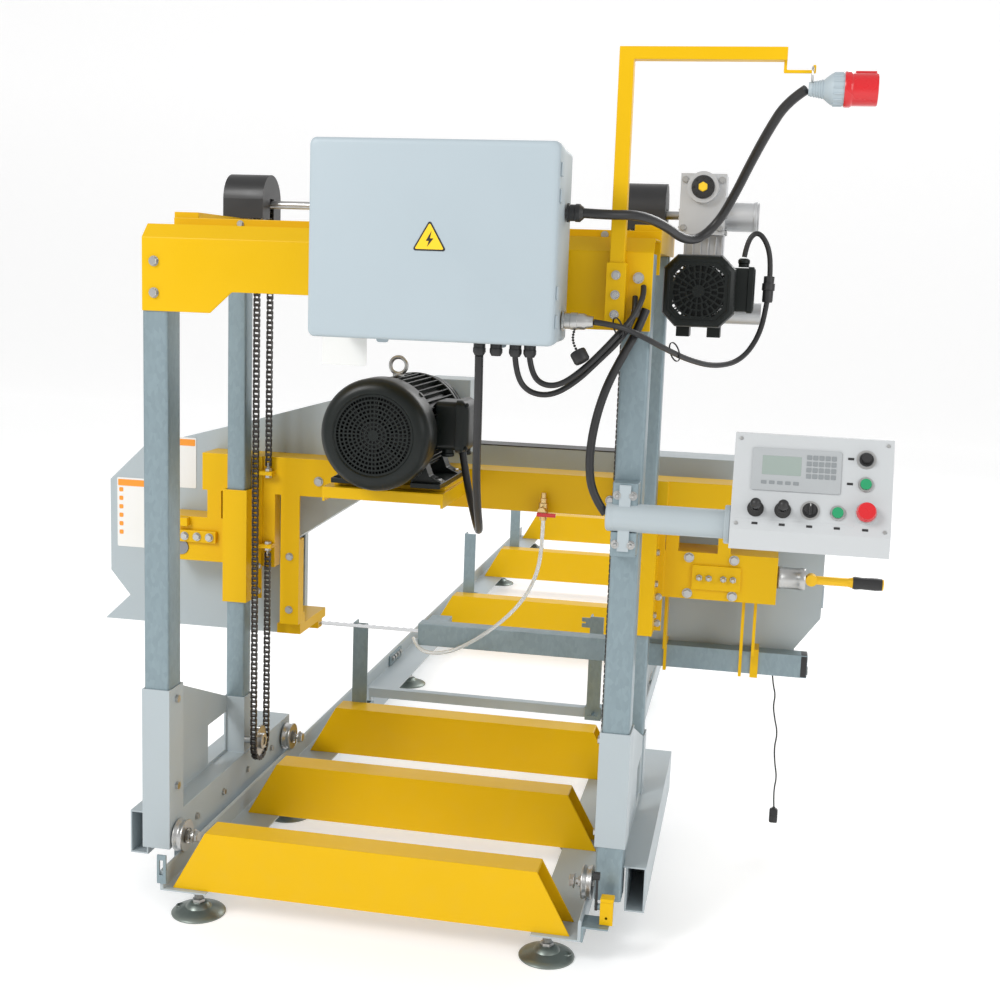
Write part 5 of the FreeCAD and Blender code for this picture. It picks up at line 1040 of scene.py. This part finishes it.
def mast_and_plug():
    """Mains plug: ridged grey grip, red flange and shroud with five pins; hook ring on the mast."""
    y, z = F - 0.02, 1.868
    grip = Bits()
    profile = [(0, 0.0), (0.013, 0.0), (0.014, 0.004)]
    for k in range(5):
        profile += [(0.015 + 0.001 * k, 0.006 + 0.005 * k), (0.0135 + 0.001 * k, 0.0085 + 0.005 * k)]
    profile += [(0.024, 0.036), (0.03, 0.044), (0.031, 0.048), (0.031, 0.068), (0.0, 0.068)]
    grip.turned(profile, (0.85, y, z), X, 40)
    for k in range(16):
        a = 2 * pi * k / 16
        grip.turned(mm("0 0, 2 1, 2 18, 0 19"),
                    (0.897, y + 0.031 * cos(a), z + 0.031 * sin(a)), X, 6)
    handle = grip.done("plug_grip", "gantry", "cabinet")
    red = Bits()
    red.turned(mm("0 68, 33 68, 34.5 71, 34.5 79, 33 82, 31.5 84, 31.5 130, 30.5 132, 27.5 132, 27.5 92, "
                  "0 92"),
               (0.85, y, z), X, 48)
    red.box((0.938, y - 0.005, z + 0.03), (0.978, y + 0.005, z + 0.0345))
    shroud = red.done("plug_shroud", "gantry", "red", bevel=0.0005, replaces="mains_plug")
    pins = Bits()
    for k in range(5):
        a = radians(90 + 72 * k)
        pins.turned(mm("0 90, 3.5 90, 3.5 124, 2.5 127, 0 128"),
                    (0.85, y + 0.0165 * cos(a), z + 0.0165 * sin(a)), X, 14)
    brass = pins.done("plug_pins", "gantry", "brass")
    hook = Bits().ring((0.856, F - 0.02, 1.894), 0.016, 0.0022, X, 24, 8)
    for z in (1.415, 1.455, 1.495):
        washer_bolt(hook, (0.491, F - 0.0384, z), FRONT, 0.0045)
    hook.done("mast_ring", "gantry", "steel")
    ties = Bits()
    for px, py, pz in ((0.503, F - 0.062, 1.39), (0.612, F + 0.06, 1.34)):
        ties.turned(mm("20 -1.5, 21.5 -1.5, 21.5 1.5, 20 1.5"), (px, py, pz),
                    (0.8, 0.5, 0.3), 20)
    ties.done("cable_ties", "gantry", "black")
    return handle, shroud, brass


def head_details():
    """Bolts, raised plates, valve, labels, guard strip, grip and end caps on the saw head and covers."""
    y = F + 0.548
    bolts = Bits()
    for x in (-0.33, 0.44):
        washer_bolt(bolts, (x, y - 0.0005, 0.937), FRONT, 0.006)
    for dx in (-0.052, 0.06):
        for z in (0.714, 0.806):
            washer_bolt(bolts, (0.697 + dx, y - 0.0005, z), FRONT, 0.006)
    for dx in (-0.024, 0.0, 0.036, 0.06):
        bolts.turned(mm("0 16, 4 16, 5 14.5, 5 0"), (0.697 + dx, y - 0.008, 0.758),
                     FRONT, 14)
        hexagon(bolts, (0.697 + dx, y - 0.008, 0.758), FRONT, 0.0085, 0.006)
    for x in (-0.735, -0.7, -0.665, -0.63):
        washer_bolt(bolts, (x, y - 0.0125, 0.768), FRONT, 0.0055)
    for s in (-1, 1):
        for z in (0.66, 0.74, 0.82, 0.9):
            washer_bolt(bolts, (s * 0.5672, F + 0.508, z), (s, 0, 0), 0.0045)
        for x in (-0.04, 0.04):
            for z in (0.632, 0.7):
                washer_bolt(bolts, (s * 0.534 + x, F + 0.5408, z), FRONT, 0.0045)
    washer_bolt(bolts, (-0.408, y - 0.0005, 0.585), FRONT, 0.005)
    washer_bolt(bolts, (-0.408, y - 0.0005, 0.73), FRONT, 0.005)
    bolts.done("head_bolts", "head", "steel", replaces="head_fittings")
    block = Bits()
    block.box((-0.748, y - 0.012, 0.752), (-0.612, y - 0.0005, 0.784))
    block.box((-0.72, y - 0.018, 0.795), (-0.69, y - 0.0005, 0.818))
    block.done("bearing_clamp", "head", "yellow", bevel=0.0015)
    valve = Bits()
    valve.turned(mm("0 -30, 9 -30, 9 -20, 13 -19, 13 14, 9 15, 9 26, 6.5 27, 6.5 40, 0 40"),
                 (0.273, F + 0.528, 0.909), Z, 20)
    valve.turned(mm("0 -4, 10 -4, 10 24, 0 24"), (0.273, F + 0.5, 0.905), Y, 16)
    valve.done("water_valve", "head", "brass")
    Bits().box((0.262, F + 0.49, 0.893), (0.31, F + 0.496, 0.903)).done("valve_lever", "head", "red",
                                                                        bevel=0.001)
    Bits().box((-0.458, F + 0.7605, 1.0335), (0.457, F + 0.84, 1.0365)).done("guard_strip", "head", "black",
                                                                             bevel=0.0006)
    tag, band = Bits(), Bits()
    for xc, zc, w, h in ((-0.903, 0.8, 0.092, 0.195), (-0.75, 0.95, 0.07, 0.14)):
        face = F + 0.6472
        tag.plate((xc, zc), (w, h), 0.004, "y", (face + 0.0006, face))
        band.plate((xc, zc + h / 2 - 0.014), (w - 0.006, 0.018), 0.002, "y", (face, face - 0.0005))
        for k in range(6):
            band.plate((xc - w / 2 + 0.012, zc + h / 2 - 0.034 - 0.024 * k), (0.012, 0.012), 0.003, "y",
                       (face, face - 0.0005))
    tag.done("blank_labels", "head", "label")
    band.done("label_bands", "head", "warn")
    Bits().turned(mm("0 -2, 11.5 -2, 15.5 0, 16.5 6, 15 20, 16 55, 15 70, 10 74.5, 0 75"),
                  (1.052, F + 0.603, 0.76), X, 28).done("tension_grip", "lever", "black")
    Bits().turned(mm("0 0, 27.2 0, 28.5 2, 28.5 10, 27.2 12, 27.2 52, 28.5 54, 28.5 66.5, 27 69.3, 12 69.3"),
                  (0.8655, F + 0.603, 0.76), X, 48).done("tension_cylinder", "tension", "steel")
    Bits().loft([[(0.954 + t, F + 0.697 + a, 0.514 + b) for a,
                  b in round_rect(0, 0, 0.0505 - s, 0.0605 - s,
                                  0.004)] for t, s in ((-0.012, 0), (0.0025, 0),
                                                       (0.0045, 0.003))]).done("guide_arm_cap", "arm",
                                                                               "black")
    pads = Bits()
    pads.box((-0.081, F + 0.7725, 0.47), (-0.078, F + 0.78, 0.512))
    pads.ring((0.9602, F + 0.697, 0.498), 0.01, 0.0018, X, 20, 8)
    pads.done("guide_arm_ring", "arm", "steel")


def saw_teeth():
    """Toothed blade: a thin closed band whose front edge rises and falls every 22 mm."""
    radius, place, zc = 0.2455, 0.714, 0.735
    straight, arc = 2 * place, pi * radius
    total = 2 * straight + 2 * arc
    teeth = int(total / 0.022)
    steps = teeth * 4
    y_back, y_front = F + 0.785, F + 0.823
    verts, faces = [], []
    for k in range(steps):
        s = total * k / steps
        if s < straight:
            point, way = (-place + s, zc - radius), (0, -1)
        elif s < straight + arc:
            a = -pi / 2 + (s - straight) / radius
            point, way = (place + radius * cos(a), zc + radius * sin(a)), (cos(a), sin(a))
        elif s < 2 * straight + arc:
            point, way = (place - (s - straight - arc), zc + radius), (0, 1)
        else:
            a = pi / 2 + (s - 2 * straight - arc) / radius
            point, way = (-place + radius * cos(a),
                          zc + radius * sin(a)), (cos(a), sin(a))
        edge = y_front - (0.0, 0.0015, 0.0062, 0.0068)[k % 4]
        for t in (0.0, 0.0011):
            verts.append((point[0] + way[0] * t, y_back, point[1] + way[1] * t))
            verts.append((point[0] + way[0] * t, edge, point[1] + way[1] * t))
    for k in range(steps):
        a, b = 4 * k, 4 * ((k + 1) % steps)
        faces += [(a, b, b + 1, a + 1), (a + 2, a + 3, b + 3, b + 2), (a, a + 2, b + 2, b),
                  (a + 1, b + 1, b + 3, a + 3)]
    Bits().add(verts, faces).done("toothed_blade", "head", "blade", replaces="saw_blade")


def switch_cover():
    """Bent yellow cover plate and screw of the end switch."""
    bits = Bits()
    bits.box((0.5255, -2.3345, 0.15), (0.5545, -2.3075, 0.1585))
    bits.turned(mm("0 -2, 4 -2, 4 1, 0 1"), (0.54, -2.334, 0.115), FRONT, 12)
    bits.box((0.5255, -2.335, 0.0985), (0.5545, -2.333, 0.15))
    bits.done("switch_cover", "bed", "yellow", bevel=0.001)


def pendant_end():
    """Small moulded end piece: rounded body, ribbed waist and a strain relief round the cord."""
    x, y = PENDANT[-1][0], PENDANT[-1][1]
    bits = Bits()
    rows = ((0.0742, 0.017, 0.01), (0.0752, 0.0205, 0.0125), (0.079, 0.022, 0.0138), (0.094, 0.022, 0.0138),
            (0.0945, 0.0205, 0.0125), (0.0965, 0.0205, 0.0125), (0.097, 0.022,
                                                                 0.0138), (0.109, 0.0215, 0.0135),
            (0.1125, 0.018, 0.011), (0.1135, 0.01, 0.008), (0.1165, 0.007, 0.007), (0.1172, 0.0055, 0.0055))
    bits.loft([[(x + a, y + b, z) for a, b in round_rect(0, 0, w, d, min(w, d) * 0.3, 4)] for z, w,
               d in rows])
    return bits.done("pendant_end", "gantry", "black", replaces="pendant_box")


cord("lift_lead", LIFT_LEAD, 0.006, "cable", "gantry", ("gantry_cables",))
cord("desk_lead", DESK_LEAD, 0.009, "cable", "gantry")
cord("loop_lead_a", LOOP_A, 0.006, "cable", "gantry")
cord("loop_lead_b", LOOP_B, 0.006, "cable", "gantry")
swept_cord("motor_lead", MOTOR_LEAD, 0.009, "cable", "motor_cable")
swept_cord("water_line", WATER, 0.005, "hose", "water_hose")
swept_cord("pendant_cord", PENDANT, 0.002, "cable", "pendant_cable",
           with_pieces=(pendant_end(),))
posts()
feet()
frame_details()
chains()
main_motor()
lift_motor()
gearbox_details()
cabinet()
panel()
plug_parts = mast_and_plug()
cord("mains_cord", MAINS, 0.01, "cable", "gantry", ("gantry_cables",))
head_details()
saw_teeth()
switch_cover()

# ------------------------------------------------------------------ floor and light
profile = [(-14.0, 0.0), (9.0, 0.0)]
profile += [(9.0 + 4.0 * sin(a), 4.0 - 4.0 * cos(a)) for a in np.linspace(0.05, pi / 2, 24)]
profile += [(13.0, 14.0)]
floor_data = bpy.data.meshes.new("floor")
floor_data.from_pydata([(x, y, z) for y, z in profile for x in (-22, 22)], [],
                       [(2 * k, 2 * k + 1, 2 * k + 3, 2 * k + 2) for k in range(len(profile) - 1)])
floor_data.polygons.foreach_set("use_smooth", [True] * len(floor_data.polygons))
floor = bpy.data.objects.new("floor", floor_data)
scene.collection.objects.link(floor)
pale = bpy.data.materials.new("floor_pale")
pale.use_nodes = True
fill(pale.node_tree.nodes["Principled BSDF"], Base_Color=(0.86, 0.86, 0.86, 1), Roughness=0.7,
     Emission_Color=(1, 1, 1, 1), Emission_Strength=0.29)
floor_data.materials.append(pale)
world = bpy.data.worlds.new("world")
world.use_nodes = True
fill(world.node_tree.nodes["Background"], Color=(1.0, 1.0, 1.0, 1), Strength=0.66)
scene.world = world


def area_light(name, place, target, size, power):
    """Soft square light aimed at a point."""
    data = bpy.data.lights.new(name, "AREA")
    data.size, data.energy = size, power
    lamp = bpy.data.objects.new(name, data)
    lamp.location = place
    lamp.rotation_euler = (Vector(target) - Vector(place)).to_track_quat("-Z", "Y").to_euler()
    scene.collection.objects.link(lamp)


area_light("key", (-3.2, -6.5, 4.6), (0.0, -1.6, 0.9), 2.2, 210)
area_light("fill", (4.6, -5.0, 2.6), (0.2, -1.8, 0.9), 2.6, 60)
area_light("rear", (2.5, 3.5, 4.5), (0.0, -1.2, 0.8), 3.0, 130)
scene.view_settings.view_transform = "Standard"
